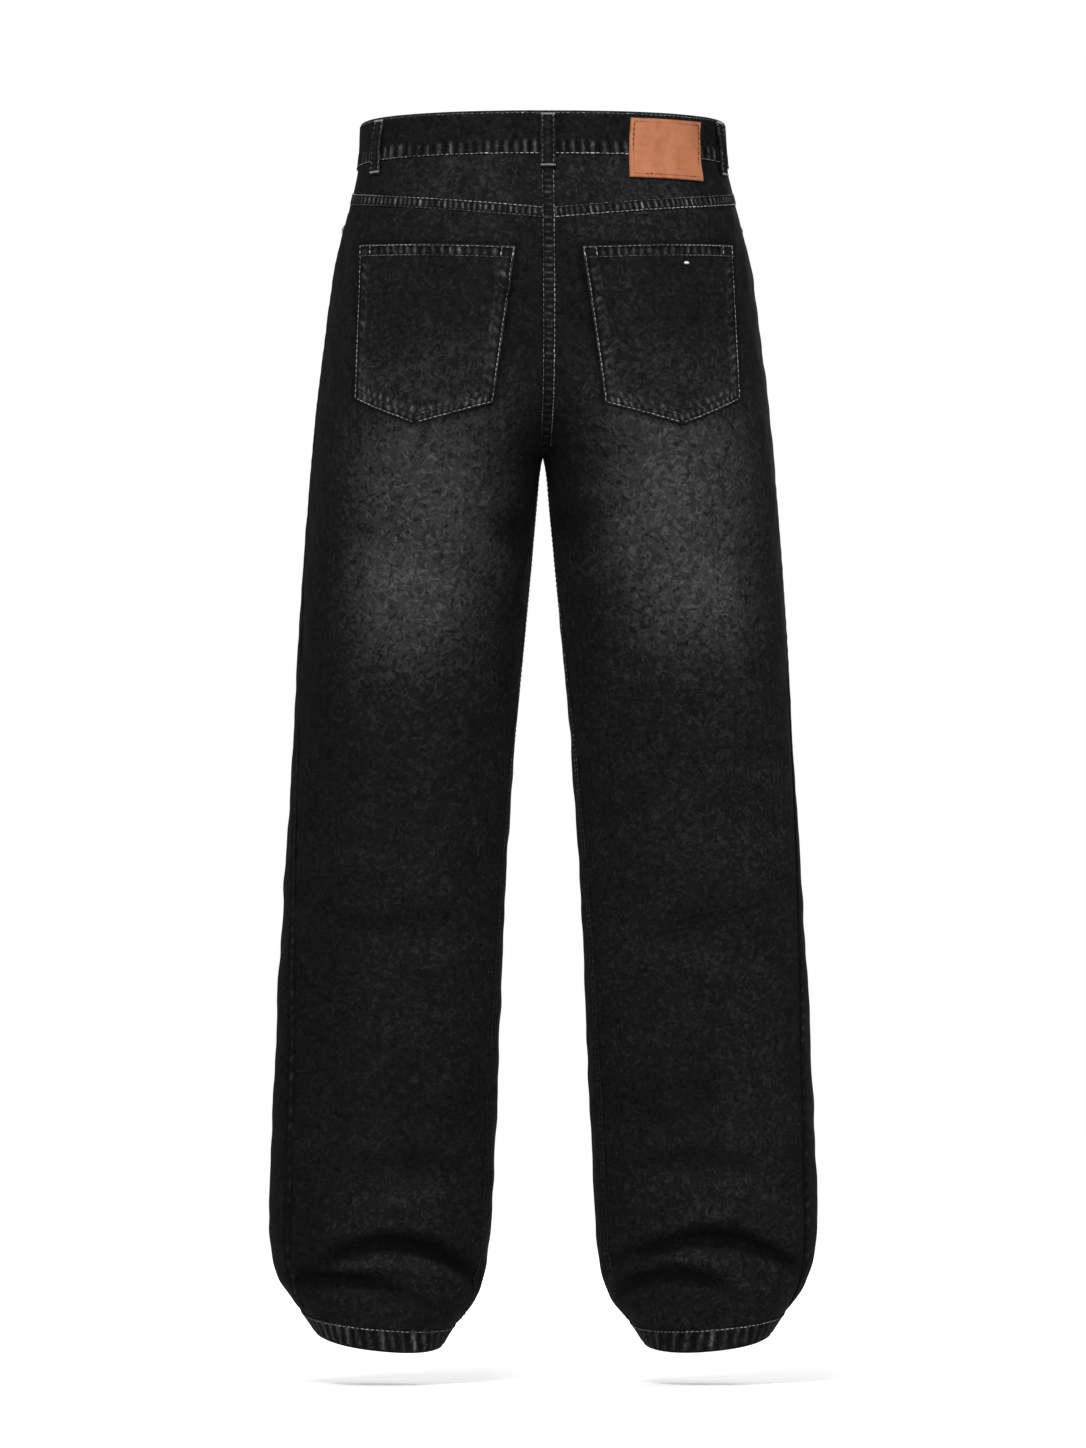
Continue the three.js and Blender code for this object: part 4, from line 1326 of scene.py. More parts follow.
# %% Pocket mouths, fly and front rise
def mouth_line(leg, inset):
    """A line beside a pocket mouth, moved into the panel by inset."""
    turns = np.radians(np.linspace(2, 84, 60))
    level = WAIST_SEAM - MOUTH_DEPTH * np.sin(turns)
    angle = angle_at_distance(leg, level, MOUTH_WIDTH * np.cos(turns), -1)
    points, normals = path_on(leg, level, angle, 0.0)
    aside = unit(np.cross(normals, unit(np.gradient(points, axis=0))))
    into_panel = surface(leg, level, angle - 5) - points
    towards = np.where((aside * into_panel).sum(-1, keepdims=True) > 0, 1, -1)
    return points + aside * towards * inset, normals


for leg, side in SIDES:
    for inset in (2.2, 8.2):
        sew_line("stitches_front", mouth_line(leg, inset), lift=0.25, seed=7)
FLY_ROW = 38.0
J_TURN = 26.0
J_REACH = 34.0
fly_levels = np.arange(WAIST_SEAM - 2, FLY_END, -2.0)
fly_points, fly_normals = middle_place(False, fly_levels, FLY_ROW)
turns = np.linspace(0, np.pi / 2, 20)
curl_level = FLY_END - J_TURN * np.sin(turns)
curl_x = FLY_ROW - J_REACH * (1 - np.cos(turns))
curl_angle = angle_at_plane(1, curl_level, False, curl_x)
curl_points, curl_normals = path_on(1, curl_level, curl_angle, 0.0)
points = np.concatenate([fly_points, curl_points[1:]])
normals = np.concatenate([fly_normals, curl_normals[1:]])
for inset in (0.0, -6.2):
    sew_line("stitches_front", (points, normals), inset, lift=0.3, seed=9)
RISE_TOP = FLY_END - 12
middle_strip(front_grids["left"][0], False, RISE_TOP, RISE_END, SEAM_BAND, 60, 0.7, 0.34)
for aside in (4.3, -4.3):
    line = middle_place(False, np.arange(RISE_TOP, RISE_END, -4.0), aside)
    sew_line("stitches_front", line, lift=0.5, seed=10, bright=0.5)
print("front stitching:", stitches["stitches_front"].count, "points")


# %% [markdown]
# The waistband is one doubled strip, stitched all round close to both edges. It is the piece that
# shrinks least, so the cloth under its lower stitches bunches into the upright ridges that show
# as pale bars.

# %% Waistband
BAND_PROUD = 0.8
BAND_WALL = 2.6
BAND_LAP_RAISE = BAND_WALL + SEAM_GAP
BAND_TONGUE = 26.0
LAP_ANGLE = -90 - np.degrees(np.arctan2(LAP, section["front"](0.0)))
TONGUE_ANGLE = 270 + np.degrees(np.arctan2(BAND_TONGUE, section["front"](0.0)))
FULL_RAISE = TONGUE_ANGLE - 360 + 3


def band_lift(angle):
    """How far the band is lifted where its ends lie on one another."""
    return BAND_LAP_RAISE * (1 - smooth(angle, FULL_RAISE, FULL_RAISE + 20))


def band_point(level, angle, off):
    return surface(1, level, wrapped(angle), off)


band_angles = np.arange(LAP_ANGLE, TONGUE_ANGLE, 0.85)
band_levels = np.concatenate([np.linspace(0, -27, 12), np.linspace(-28.2, WAIST_SEAM + HALF_GAP, 12)])
level, angle = np.meshgrid(band_levels, band_angles, indexing="ij")
at = distances(band_point(level, angle, 0.0))[0]
at = np.broadcast_to(at[-1:], at.shape)
low_part = smooth(-level, 24, 29) * (1 - smooth(-level, 36.6, 38.2))
bars = rope(at, (level + 31) / 40, 70, 8.8, slant=0.1, sharp=2.0)
top_part = 1 - smooth(-level, 2.0, 5.0)
round_edge = -0.7 * (np.exp(level / 0.8) + np.exp((WAIST_SEAM - level) / 0.8))
off = BAND_PROUD + band_lift(angle) + unevenness(at, level, 71, 0.18)
off = off + 0.55 * bars * low_part + 0.12 * top_part * rope(at, level / 40, 72, 9.0) + round_edge
band_outer = band_point(level, angle, off)
band_inner = band_point(level, angle, BAND_PROUD - BAND_WALL + band_lift(angle) - round_edge * 0.6)
band = Piece("waistband_cloth")
band_wear = UNWORN - 0.03 - 0.12 * low_part + 0.86 * bars * low_part + 0.25 * np.exp(level / 1.6)
band.wall(band_outer, band_inner, band_wear)
for stitch_level, bright in ((WAIST_SEAM + 0.9, 0.74), (-2.2, 0.5)):
    many = np.linspace(LAP_ANGLE + 1, TONGUE_ANGLE - 15.5, 500)
    level_here = np.full(len(many), stitch_level)
    line = path_on(1, level_here, wrapped(many), BAND_PROUD + band_lift(many))
    sew_line("stitches_waistband", line, lift=0.15, seed=11, bright=bright)
end_levels = np.arange(-3.5, WAIST_SEAM + 3, -2.0)
ends = middle_place(False, end_levels, -LAP + 2.0, BAND_PROUD + BAND_LAP_RAISE)
sew_line("stitches_waistband", ends, lift=0.15, seed=13)
finish_cloth(band, band_outer, "waistband", denim)


# %% [markdown]
# Now that their strips are on, the yokes and panels become meshes. Each stands for its node in the
# frame, which is hidden.

# %% Finish the yokes and the long panels
for leg, side in SIDES:
    yoke, grid = yoke_grids[side]
    finish_cloth(yoke, grid, f"back_yoke_{side}", denim)
    for name, grids in (("back_panel", back_grids), ("front_panel", front_grids)):
        piece, grid = grids[side][:2]
        finish_cloth(piece, grid, f"{name}_{side}", denim)


# %% [markdown]
# Behind each curved mouth lies a facing of the same denim, and behind the fly a shield. Only their
# upper faces show, but both are whole pieces, because the inside can be seen from above.

# %% Pocket facings and fly shield
FACING_UNDER = 14.0
FACING_ROOM = 0.6
SHIELD_ROOM = 0.3
facing_off = -(DENIM + SEAM_GAP + FACING_ROOM)
for leg, side in SIDES:
    levels = rows_between(WAIST_SEAM - HALF_GAP, MOUTH_END - 24, 2.5)
    start = side_edge(leg, levels, False)
    reach = np.maximum(mouth_distance(levels), 20) + FACING_UNDER
    end = angle_at_distance(leg, levels, reach, -1)
    share = np.linspace(0, 1, 36)[None, :]
    level = levels[:, None] * np.ones_like(share)
    angle = angles_between(level, False, start[:, None], end[:, None], share)
    u, v = distances(surface(leg, level, angle))
    grid = surface(leg, level, angle, facing_off + unevenness(u, v, 80 + leg, 0.15))
    inner = surface(leg, level, angle, facing_off - DENIM)
    facing = Piece(f"front_pocket_facing_{side}_cloth")
    facing.wall(grid, inner, UNWORN)
    finish_cloth(facing, grid, f"front_pocket_facing_{side}", denim)

shield_x = np.linspace(-36, 12, 20)
shield_levels = np.linspace(WAIST_SEAM - SEAM_GAP, FLY_END - 6, 50)
shield_off = -(DENIM + SEAM_GAP + SHIELD_ROOM)


def shield_layer(off):
    """A grid of points on the shield, which runs to both sides of the middle."""
    columns = []
    for x in shield_x:
        leg = -1 if x < 0 else 1
        angle = angle_at_plane(leg, shield_levels, False, abs(x), off)
        columns.append(surface(leg, shield_levels, angle, off))
    return np.stack(columns, axis=1)


shield = Piece("fly_shield_cloth")
shield.wall(shield_layer(shield_off), shield_layer(shield_off - DENIM), UNWORN)
finish_cloth(shield, shield_layer(shield_off), "fly_shield", denim)


# %% [markdown]
# Back pockets are patches with a turned hem along the top and turned edges on the other sides. The
# turned cloth inside shows through as a band round the edge, worn pale along its step. Corners are
# bar tacked. The point at the bottom is mitred, so the allowance there makes small triangles.

# %% Places on a back pocket
POCKET_WALL = 1.6
POCKET_REST = SEAM_GAP + 0.35
POCKET_STAND = POCKET_REST + POCKET_WALL + 0.5
POCKET_HEM = 11.0
TURNED_EDGE = 11.5
POCKET_SIZE = 150.0
DOWN = np.linspace(0, 1, 41)


def place_on_back(across, height):
    """Levels and angles of places that are seen from behind at across and height."""
    across, height = np.atleast_1d(across).astype(float), np.atleast_1d(height).astype(float)
    level = height.copy()
    for _ in range(10):
        angle = angle_at_plane(1, level, True, across)
        level = level + height - surface(1, level, angle)[..., 2]
    return np.stack([level, angle])


def pocket_edge(top, bottom):
    """Levels and angles down a side edge, which is straight when seen from behind."""
    (x0, z0), (x1, z1) = POCKET[top], POCKET[bottom]
    return place_on_back(x0 + (x1 - x0) * DOWN, z0 + (z1 - z0) * DOWN)


inner_rows = pocket_edge("inner_top", "inner_bottom")
outer_rows = pocket_edge("outer_top", "outer_bottom")
top_middle = (inner_rows[:, 0] + outer_rows[:, 0]) / 2
tip = place_on_back(*POCKET["tip"])[:, 0]


def read_edge(rows, down):
    return np.stack([np.interp(down, DOWN, rows[i]) for i in (0, 1)], -1)


def pocket_place(down, share):
    """Level and angle inside the pocket's outline, from the top and from the inner side."""
    down, share = np.broadcast_arrays(np.asarray(down, float), np.asarray(share, float))
    inner, outer = read_edge(inner_rows, down), read_edge(outer_rows, down)
    middle = top_middle + (tip - top_middle) * down[..., None]
    s = share[..., None]
    outer_half = middle + (outer - middle) * (2 * s - 1)
    return np.where(s < 0.5, inner + (middle - inner) * 2 * s, outer_half)


def edge_steps(count, length):
    """Shares from 0 to 1 that are closer at both ends."""
    ends = np.array([0, 0.5, 1.1, 1.9, 3.0]) / length
    middle = np.linspace(4.3 / length, 1 - 4.3 / length, count)
    return np.concatenate([ends, middle, 1 - ends[::-1]])


print("level of a pocket's tip:", round(float(tip[0]), 1), "mm")


# %% [markdown]
# Pale bars show on a pocket wherever stitches gather more than one layer: across its hem, along its
# lowest edge in two rows, and more softly down its sides. Each is a rope kept inside a narrow band.
# They could be painted on, but as ropes they also raise the cloth a little.

# %% Pocket cloth
for leg, side in SIDES:
    down = edge_steps(88, POCKET_SIZE)
    share = np.sort(np.append(edge_steps(81, POCKET_SIZE), 0.5))
    share = np.unique(np.round(share, 6))
    place = pocket_place(*np.meshgrid(down, share, indexing="ij"))
    level, angle = place[..., 0], place[..., 1]
    u, v = distances(surface(leg, level, angle))
    from_side = np.minimum(u, u[:, -1:] - u)
    up = v[-1:] - v
    from_bottom = up * 0.97
    from_turned = np.minimum(from_side, from_bottom)
    edge = np.minimum(from_turned, v)
    hem = 1 - smooth(v, POCKET_HEM - 0.8, POCKET_HEM + 0.8)
    turned = 1 - smooth(from_turned, TURNED_EDGE - 1.2, TURNED_EDGE + 1.2)
    hem_band = hem * smooth(from_side, 12, 16) * smooth(v, 1.2, 3) * smooth(POCKET_HEM - v, 0.5, 2.5)
    top_u = np.broadcast_to(u[:1], u.shape)
    hem_bars = rope(top_u, (v - 5.5) / 11, 90 + leg, 7.5, slant=0.06, sharp=2.2) * hem_band
    low_band = smooth(from_bottom, 2.0, 3.5) * (1 - smooth(from_bottom, 6.5, 8.5))
    low_bars = rope(u, up / 9, 94 + leg, 6.5, slant=0.15) * low_band * smooth(from_side, 4, 8)
    next_band = smooth(from_bottom, 8.5, 10) * (1 - smooth(from_bottom, 12.5, 15))
    next_bars = rope(u, up / 9, 98 + leg, 8.0, slant=0.15) * next_band * smooth(from_side, 9, 14)
    side_band = bell(from_side - 7, 3.5) * smooth(v, 14, 20) * smooth(from_bottom, 8, 14)
    side_bars = rope(v, u / 10, 102 + leg, 9.0, slant=0.5) * side_band
    off = POCKET_REST + POCKET_WALL + unevenness(u, v, 86 + leg, 0.3, 26, 80)
    off = off + 0.5 * hem + 0.25 * turned - 1.1 * bell(edge, 0.9)
    off = off + 0.35 * (hem_bars + low_bars) + 0.2 * next_bars + 0.22 * side_bars
    outer = surface(leg, level, angle, off)
    inner = surface(leg, level, angle, POCKET_REST)
    # Painted shade: a dark line runs 3 mm inside the pocket's edge.
    wear = UNWORN + 0.1 * bell(v - 125, 42) + 0.3 * bell(edge, 0.8) - 0.14 * bell(edge - 3.0, 1.3)
    wear = wear - 0.06 * hem + 0.10 * bell(from_side - TURNED_EDGE, 1.2) * smooth(v, 12, 18)
    wear = wear + 0.1 * hem * (1 - smooth(from_side, 10.5, 12))
    wear = wear + 0.74 * hem_bars + 0.72 * low_bars + 0.6 * next_bars + 0.5 * side_bars
    pocket = Piece(f"back_pocket_{side}_cloth")
    pocket.wall(outer, inner, wear)
    finish_cloth(pocket, outer, f"back_pocket_{side}", denim)


# %% [markdown]
# A back pocket is sewn on in one go: down one side, along the point and up the other side, after its
# hem is stitched. Only the first row shows strongly. The second lies in the shade of the bars.

# %% Pocket stitches
def pocket_line(leg, start, end, inset, off):
    """A line between two places in shares of the pocket, moved in by inset."""
    t = np.linspace(0, 1, 60)
    spot = pocket_place(start[0] + (end[0] - start[0]) * t, start[1] + (end[1] - start[1]) * t)
    points, normals = path_on(leg, spot[:, 0], spot[:, 1], off)
    aside = np.cross(normals, unit(np.gradient(points, axis=0)))
    middle = surface(leg, *pocket_place(0.5, 0.5))
    flip = 1 if (aside[30] * (middle - points[30])).sum() > 0 else -1
    return points + aside * flip * inset, normals


for leg, side in SIDES:
    name = f"stitches_pocket_{side}"
    for inset, bright in ((1.4, 0.7), (POCKET_HEM - 0.6, 0.48)):
        line = pocket_line(leg, (0, 0), (0, 1), inset, POCKET_STAND)
        sew_line(name, line, seed=21, start=0.5, end=0.5, bright=bright)
    for edge_share in (0.0, 1.0):
        line = pocket_line(leg, (0, edge_share), (1, edge_share), 1.5, POCKET_STAND - 0.2)
        sew_line(name, line, seed=23, bright=0.68)
        for across in (0.6, 12.5):
            start = across / POCKET_SIZE if edge_share == 0 else 1 - across / POCKET_SIZE
            tack_line = pocket_line(leg, (0.008, start), (0.07, start), 0.4, POCKET_STAND)
            sew_line(name, tack_line, start=0, end=0, seed=24, bright=0.7)
    for low, high in (((1, 0), (1, 0.5)), ((1, 0.5), (1, 1))):
        line = pocket_line(leg, low, high, 1.6, POCKET_STAND - 0.2)
        sew_line(name, line, seed=25, bright=0.72)
        line = pocket_line(leg, low, high, 8.0, POCKET_STAND - 0.2)
        sew_line(name, line, seed=26, start=7, end=3, bright=0.14)
    print(name, "points:", stitches[name].count)

# One white tack holds the hem of the pocket on the wearer's right.
TACK = (118.6, -121.7)
tack_level, tack_angle = place_on_back(*TACK)
TACK_LENGTH = 5.4
TACK_WIDTH = 1.9
PLAIN_WHITE = 1.4
tack_spot, tack_out = path_on(-1, tack_level, tack_angle, POCKET_STAND)
tack_side = unit(path_on(-1, tack_level, tack_angle + 1, POCKET_STAND)[0] - tack_spot)
tack = ("stitches_pocket_right", tack_spot, tack_side, tack_out)
sew(*tack, TACK_LENGTH, PLAIN_WHITE, TACK_WIDTH)


# %% [markdown]
# A belt loop is a strip folded in three and stitched along both edges. Washing wears its two edges
# and leaves a darker groove between them. Both ends are held down by bar tacks.

# %% Belt loops
LOOP_WIDTH, LOOP_WALL, LOOP_BOW = 13.0, 1.8, 2.2
LOOP_TOP, LOOP_BOTTOM = -1.5, -50.0
LOOP_DROP = LOOP_BOTTOM - LOOP_TOP
LOOP_FACE = 48
WIDTH_LEVEL = -25.0
LOOPS = (
    ("belt_loop_back", 1, 90.0, 0.0),
    ("belt_loop_side_left", 1, 21.5, 0.5),
    ("belt_loop_side_right", -1, 16.0, -0.5),
    ("belt_loop_front_left", 1, -46.0, 0.3),
    ("belt_loop_front_right", -1, -46.0, -0.3),
)


def loop_rise(t):
    """How far a loop stands off the garment, most at its middle."""
    return BAND_PROUD + SEAM_GAP + LOOP_BOW * np.sin(np.pi * np.clip(t, 0, 1)) ** 1.2


for name, leg, place, lean in LOOPS:
    t = edge_steps(26, LOOP_TOP - LOOP_BOTTOM)[:, None]
    across = np.linspace(-1, 1, 15)[None, :]
    level = LOOP_TOP + LOOP_DROP * t + 0 * across
    wide = float(turn_for(leg, WIDTH_LEVEL, place, LOOP_WIDTH / 2))
    angle = place + wide * across + lean * (t - 0.5)
    crown = 0.22 * bell(np.abs(across) - 0.74, 0.16) - 0.12 * bell(across, 0.3)
    edge = np.minimum((1 - np.abs(across)) * LOOP_WIDTH / 2, np.minimum(t, 1 - t) * LOOP_FACE)
    round_over = -0.9 * bell(edge, 0.6)
    outer = surface(leg, level, angle, loop_rise(t) + LOOP_WALL + crown + round_over)
    inner = surface(leg, level, angle, loop_rise(t) + 0 * across)
    rims = bell(np.abs(across) - 0.93, 0.1)
    wear = UNWORN - 0.06 + 0.3 * rims + 0.14 * bell(across, 0.3) + 0 * t
    loop = Piece(f"{name}_cloth")
    loop.wall(outer, inner, wear)
    finish_cloth(loop, outer, name, denim)
    t = np.linspace(0.02, 0.98, 60)
    for edge in (-0.72, 0.72):
        line_angle = place + wide * edge + lean * (t - 0.5)
        line_level = LOOP_TOP + LOOP_DROP * t
        spots, outs = path_on(leg, line_level, line_angle, 0.0)
        spots = spots + outs * (loop_rise(t) + LOOP_WALL + 0.15)[:, None]
        sew_line("stitches_loops", (spots, outs), lift=0.0, start=0.5, end=0.5, seed=31, bright=0.5)
    for end in (0.035, 0.965):
        level_here = np.array([LOOP_TOP + LOOP_DROP * end])
        spot, out = path_on(leg, level_here, np.array([place + lean * (end - 0.5)]), 0.0)
        beside = path_on(leg, level_here, np.array([place + 1.0]), 0.0)[0]
        along = unit(beside - spot)
        top_face = spot + out * (loop_rise(end) + LOOP_WALL + 0.05)
        bar_tack("stitches_loops", top_face, along, out, LOOP_WIDTH - 1.2)


# %% [markdown]
# The patch is a plain piece of tan leather with nothing on it. Heat and washing curl its edges and
# darken them, and its stitches sink in. Its grain is fine pores, drawn by the material.

# %% Leather patch
PATCH_NEAR, PATCH_FAR, PATCH_TOP, PATCH_BOTTOM, PATCH_LEAN = 57.3, 29.4, -5.5, -57.5, 2.6
PATCH_WIDE, PATCH_TALL = 73.0, 51.0
PATCH_WALL = 1.4
PATCH_REST = BAND_PROUD + SEAM_GAP + 0.3
PATCH_INSET = 3.4
share, down = np.meshgrid(edge_steps(44, PATCH_WIDE), edge_steps(32, PATCH_TALL))


def patch_place(down, share):
    """Level and angle on the patch. It is cut straight, so its top leans against the waist's taper."""
    angle = PATCH_FAR + (PATCH_NEAR - PATCH_FAR) * share - PATCH_LEAN * (1 - down)
    return PATCH_TOP + (PATCH_BOTTOM - PATCH_TOP) * down, angle


level, angle = patch_place(down, share)
u, v = distances(surface(-1, level, angle))
edge = np.minimum(np.minimum(u, u[:, -1:] - u), np.minimum(v, v[-1:] - v))
hollow = -0.35 * bell(edge - PATCH_INSET, 0.9)
off = PATCH_REST + PATCH_WALL + hollow + unevenness(u, v, 110, 0.28, 18, 50)
off = off - 0.9 * bell(edge, 0.7) + 0.35 * np.exp(-edge / 4)
outer = surface(-1, level, angle, off)
inner = surface(-1, level, angle, PATCH_REST)
patch = Piece("leather_patch_skin")
patch_wear = 0.65 * bell(edge, 0.9) + 0.5 * bell(edge - PATCH_INSET, 0.6)
patch.wall(outer, inner, patch_wear)
finish_cloth(patch, outer, "leather_patch", leather)


def inset_share(value, size):
    """A share of the way across size, kept off both ends by the patch's inset."""
    return PATCH_INSET / size + value * (1 - 2 * PATCH_INSET / size)


sides = (((0, 0), (0, 1)), ((1, 0), (1, 1)), ((0, 0), (1, 0)), ((0, 1), (1, 1)))
for (down_a, share_a), (down_b, share_b) in sides:
    t = np.linspace(0, 1, 50)
    line_down = inset_share(down_a + (down_b - down_a) * t, PATCH_TALL)
    line_share = inset_share(share_a + (share_b - share_a) * t, PATCH_WIDE)
    line = path_on(-1, *patch_place(line_down, line_share), PATCH_REST + PATCH_WALL - 0.3)
    sew_line("stitches_patch", line, lift=0.1, start=0.5, end=0.5, seed=35, bright=0.1)


# %% [markdown]
# Hems are turned twice and stitched. The turned cloth is thicker and shrinks less than the leg, so
# hems rope more strongly than any other seam. The outer face belongs to the leg panels, and a band
# over it carries the ropes and the rounded edge. The fold inside the leg is a ring of its own.

# %% Hems
HEM_ROW = HEM + HEM_FOLD - 1.5
HEM_COLUMNS = 210
FOLD_WALL = 1.8
# The rounded edge at the very end: how far out each of its rows lies, and how far below the hem
LIP_ROWS = ((0.1, 0.4), (-1.2, 1.3), (-3.2, 0.4))


for leg, side in SIDES:
    turns = np.linspace(0, 1, HEM_COLUMNS + 1)[:-1]
    lying = wrapped(outseam(HEM) + 360 * turns)
    down = np.concatenate([np.linspace(HEM + HEM_FOLD + 0.5, HEM + 1.2, 15), [HEM + 0.2, HEM - 0.6]])
    level, angle = np.meshgrid(down, lying, indexing="ij")
    u = distances(surface(leg, level, angle))[0]
    top_u = np.broadcast_to(u[:1], u.shape)
    tall = (level - HEM) / HEM_FOLD
    ripple = rope(top_u, tall * 2 - 1, 120 + leg, 11.0, slant=0.12, sharp=1.8)
    crown = smooth(tall, 0.0, 0.12) * (1 - smooth(tall, 0.93, 1.03))
    off = 0.12 + crown * (0.45 + 0.95 * ripple) + 0.3 * (1 - smooth(tall, 0.0, 0.2))
    outer = surface(leg, level, angle, off)
    inner = surface(leg, level, angle, np.minimum(0.0, off - 0.3) - 0.2)
    hem_piece = Piece(f"hem_fold_{side}_cloth")
    lip = 1 - smooth(tall, 0.02, 0.14)
    hem_wear = UNWORN - 0.12 + 0.8 * ripple * crown + 0.3 * lip * (0.4 + 0.6 * ripple)
    hem_piece.wall(outer, inner, hem_wear, loop=True)
    fold_down = np.linspace(HEM + HEM_FOLD, HEM - 0.6, 9)
    level, angle = np.meshgrid(fold_down, lying, indexing="ij")
    fold_off = -(DENIM + SEAM_GAP)
    fold_outer = surface(leg, level, angle, fold_off)
    fold_inner = surface(leg, level, angle, fold_off - FOLD_WALL)
    hem_piece.wall(fold_outer, fold_inner, UNWORN, loop=True)
    lip_off = np.stack([np.full(HEM_COLUMNS, out) for out, _ in LIP_ROWS])
    lip_level = np.stack([np.full(HEM_COLUMNS, HEM - below) for _, below in LIP_ROWS])
    lip_angle = np.stack([lying] * len(LIP_ROWS))
    lip_outer = surface(leg, lip_level, lip_angle, lip_off)
    lip_inner = surface(leg, lip_level + 1.0, lip_angle, lip_off * 0.9 - 0.1)
    hem_piece.wall(lip_outer, lip_inner, UNWORN + 0.1, loop=True)
    hem_cloth = hem_piece.make(denim)
    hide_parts(f"hem_fold_{side}")
    closed = np.append(np.arange(HEM_COLUMNS), 0)
    row_points, row_normals = path_on(leg, np.full(HEM_COLUMNS, HEM_ROW), lying, 0.0)
    hem_line = (row_points[closed], row_normals[closed])
    sew_line("stitches_hems", hem_line, lift=0.75, start=1, end=1, seed=41, bright=0.62)


# %% [markdown]
# Rivets and the button are turned metal: a profile spun round an axis. Their hollows and rounded
# rims need many steps, so the profiles are drawn as short smooth curves.

# %% Rivets and button
def turned_piece(name, node, profile, place, out, material, slot, sides=40):
    """A profile of radii and heights, spun round the direction out."""
    heights = unit(out)
    helper = np.array([0.0, 0.0, 1.0]) if abs(heights[2]) < 0.9 else np.array([1.0, 0.0, 0.0])
    first = unit(np.cross(helper, heights))
    second = np.cross(heights, first)
    turns = np.linspace(0, 2 * np.pi, sides, endpoint=False)
    profile = np.array(profile, float)
    ring = np.cos(turns)[:, None] * first + np.sin(turns)[:, None] * second
    points = place + profile[:, 0, None, None] * ring[None] + profile[:, 1, None, None] * heights
    rows = len(profile)
    faces = quads_of(rows, sides, 0, True, False).tolist()
    flat_points = points.reshape(-1, 3)
    metal_piece = Piece(name)
    metal_piece.take(flat_points, np.array(faces))
    for row in (0, rows - 1):
        cap = np.concatenate([points[row], [points[row].mean(0)]])
        fan = np.array([[i, (i + 1) % sides, sides] for i in range(sides)])
        metal_piece.take(cap, fan if row else fan[:, ::-1])
    metal = metal_piece.make(material)
    weld(metal)
    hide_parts(node)


def weld(piece):
    """Joins points that coincide and turns all faces out."""
    work = bmesh.new()
    work.from_mesh(piece.data)
    bmesh.ops.remove_doubles(work, verts=work.verts, dist=1e-6)
    bmesh.ops.recalc_face_normals(work, faces=work.faces)
    work.to_mesh(piece.data)
    work.free()


def rounded(points, steps=5):
    """A profile with its inner corners rounded by short curves."""
    points = np.array(points, float)
    out = [points[0]]
    for a, b, c in zip(points[:-2], points[1:-1], points[2:]):
        cut = 0.35
        start, end = b + (a - b) * cut, b + (c - b) * cut
        for t in np.linspace(0, 1, steps):
            out.append((1 - t) ** 2 * start + 2 * t * (1 - t) * b + t**2 * end)
    out.append(points[-1])
    return np.array(out)


RIVET_RADIUS = 4.5
RIVET_OUTER = [(0.01, 0), (4.2, 0), (4.5, 0.35), (4.1, 0.8), (3.3, 1.15)]
RIVET_MIDDLE = [(2.5, 0.85), (2.0, 0.9), (1.5, 1.6), (0.01, 1.75)]
rivet_profile = rounded(RIVET_OUTER + RIVET_MIDDLE)
inset = RIVET_RADIUS + 2
rivet_levels = {"top": WAIST_SEAM - inset - 1, "low": MOUTH_END - inset}
for leg, side in SIDES:
    for end, level_here in rivet_levels.items():
        reach = float(mouth_distance(level_here)) + inset if end == "top" else inset + 1
        angle_here = angle_at_distance(leg, level_here, reach, -1)
        spot, out = path_on(leg, np.array([level_here]), angle_here, 0.15)
        node = f"rivet_{end}_{side}"
        where = (spot[0], out[0])
        turned_piece(f"{node}_metal", node, rivet_profile, *where, rivet_metal, "rivet_metal")

BUTTON_X = 3.0
button_level = np.array([WAIST_SEAM / 2])
button_angle = angle_at_plane(1, button_level, False, BUTTON_X)
spot, out = path_on(1, button_level, button_angle, BAND_PROUD + BAND_LAP_RAISE + 0.15)
BUTTON_SHANK = [(0.01, 0), (3, 0), (3, 0.9), (8.0, 0.9), (8.5, 1.4), (8.5, 2.0)]
BUTTON_FACE = [(7.6, 2.9), (6.6, 3.1), (6.0, 2.6), (5.0, 2.45), (0.01, 2.7)]
BUTTON_SIDES = 56
button = ("waist_button_metal", "waist_button", rounded(BUTTON_SHANK + BUTTON_FACE))
turned_piece(*button, spot[0], out[0], button_metal, "button_metal", BUTTON_SIDES)


# %% [markdown]
# Each kind of stitching has collected its bars of thread and becomes one mesh now. Thread is no part
# of the frame, so it stands for no node.

# %% Make the stitches
for name, piece in stitches.items():
    sewn = piece.make(thread)
print("stitches:", sum(piece.count for piece in stitches.values()) // 16)


# %% [markdown]
# The camera stands level behind the jeans and a little to the wearer's left, far off with a long
# lens, as the picture shows hardly any perspective. A near camera could be used too, but it would
# make the waist look smaller than the hems, or the other way round.

# %% Camera
MM_PER_PIXEL = 0.87
PICTURE_PIXELS = 1448
PICTURE_HEIGHT_MM = PICTURE_PIXELS * MM_PER_PIXEL
SENSOR = 36.0
CAMERA_DISTANCE = 24.0
TO_CLOTH = CAMERA_DISTANCE - 0.05
CAMERA_TURN = 2.3
AIM = np.array([0.0, 0.0, -0.522])
way = np.array([np.sin(np.radians(CAMERA_TURN)), np.cos(np.radians(CAMERA_TURN)), 0.0])
camera_data = bpy.data.cameras.new("camera")
camera_data.sensor_fit = "VERTICAL"
camera_data.sensor_height = SENSOR
camera_data.lens = SENSOR * TO_CLOTH / (PICTURE_HEIGHT_MM * MM)
camera_data.clip_end = 60.0
camera = put_in_scene("camera", camera_data)
camera.location = AIM + way * CAMERA_DISTANCE
camera.rotation_euler = (np.pi / 2, 0.0, np.pi - np.radians(CAMERA_TURN))
bpy.context.scene.camera = camera
print("camera lens:", round(camera_data.lens, 1), "mm")


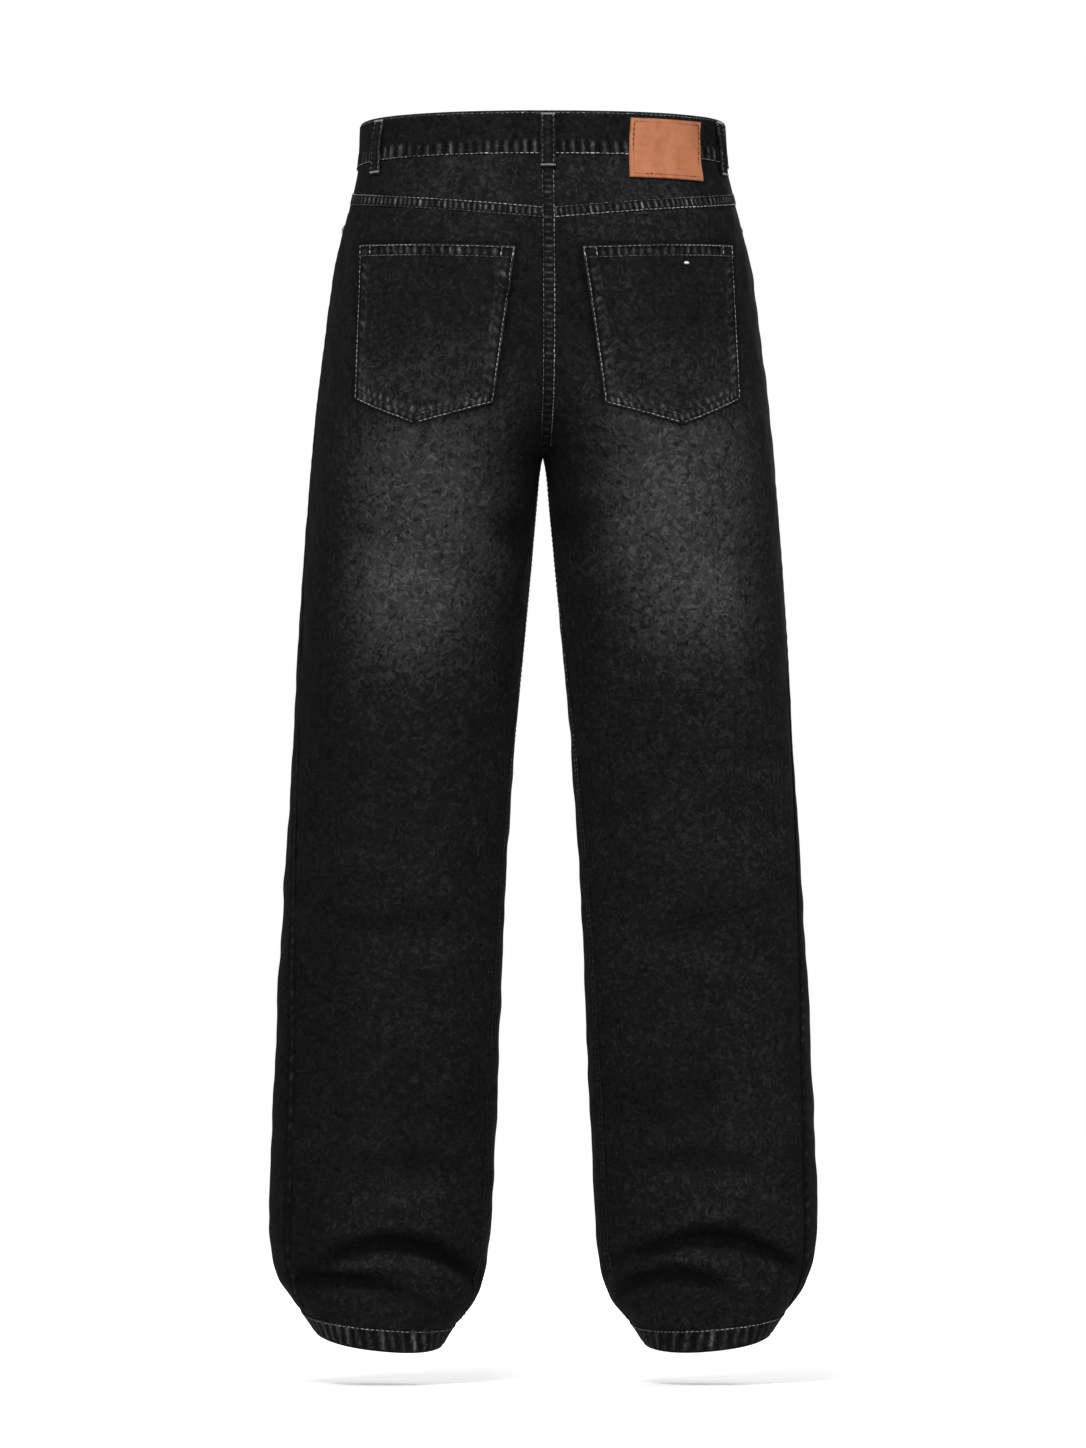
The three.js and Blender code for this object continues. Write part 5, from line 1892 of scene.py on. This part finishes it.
# %% [markdown]
# The room is a white studio. Its floor is opal acrylic, lit from below as on a shooting table, which
# keeps it as pale as the room behind it. A painted backdrop could do the same, but it would show a
# line where it meets the floor.

# %% Floor and room
FLOOR_HALF = 12.0
FLOOR_CORNERS = ((-1, -1), (1, -1), (1, 1), (-1, 1))
floor_points = [(x * FLOOR_HALF, y * FLOOR_HALF, FLOOR * MM) for x, y in FLOOR_CORNERS]
floor_mesh = bpy.data.meshes.new("floor")
floor_mesh.from_pydata(floor_points, [], [(0, 1, 2, 3)])
floor = put_in_scene("floor", floor_mesh)
floor_material, floor_tree, floor_shader = new_material("pale_studio_floor")
floor_shader.inputs["Base Color"].default_value = linear("f4f4f4")
floor_shader.inputs["Roughness"].default_value = 0.9
floor_shader.inputs["Emission Color"].default_value = linear("ffffff")
place = add_node(floor_tree, "ShaderNodeTexCoord").outputs["Object"]
far = add_node(floor_tree, "ShaderNodeVectorMath", {"operation": "LENGTH"}, links={0: place})
glow = between(floor_tree, far.outputs["Value"], 1.3, 4.5, 0.36, 0.78)
floor_tree.links.new(glow, floor_shader.inputs["Emission Strength"])
floor_mesh.materials.append(floor_material)
floor.visible_diffuse = False

ROOM_LIGHT = 0.25
world = bpy.data.worlds.new("studio")
world.use_nodes = True
background = world.node_tree.nodes["Background"]
background.inputs["Color"].default_value = linear("ffffff")
seen = add_node(world.node_tree, "ShaderNodeLightPath").outputs["Is Camera Ray"]
strength = times_plus(world.node_tree, seen, 1.0 - ROOM_LIGHT, ROOM_LIGHT)
world.node_tree.links.new(strength, background.inputs["Strength"])
bpy.context.scene.world = world
bpy.context.scene.view_settings.view_transform = "Standard"
print("floor at", FLOOR, "mm, room light", ROOM_LIGHT)


# %% [markdown]
# Soft light comes from large lamps. The key lamp beside the camera does most of the work, so black
# cloth darkens towards its outline and its folds keep their shape. The fill lamp opens the shadows
# a little, and the front lamp lights the other side for whoever walks round.

# %% Lights
def lamp(name, place, aim, size, power):
    """A rectangular lamp that points from place to aim."""
    data = bpy.data.lights.new(name, "AREA")
    data.shape = "RECTANGLE"
    data.size, data.size_y = size
    data.energy = power
    thing = put_in_scene(name, data)
    thing.location = place
    thing.rotation_euler = (Vector(aim) - Vector(place)).to_track_quat("-Z", "Y").to_euler()
    print(name, "lamp:", power, "W")


lamp("key", (0.9, 4.1, 2.3), (0, 0, -0.45), (1.7, 1.4), 228)
lamp("fill", (-2.6, 3.4, 0.2), (0, 0, -0.6), (1.6, 2.0), 32)
lamp("front", (-0.9, -4.8, 1.5), (0, 0, -0.5), (2.0, 2.0), 165)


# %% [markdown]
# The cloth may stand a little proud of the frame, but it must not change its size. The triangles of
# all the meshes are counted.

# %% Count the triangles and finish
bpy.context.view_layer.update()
meshes = [thing.data for thing in bpy.data.objects if thing.type == "MESH"]
total = sum(len(face.vertices) - 2 for mesh in meshes for face in mesh.polygons)
print("triangles in all:", total)
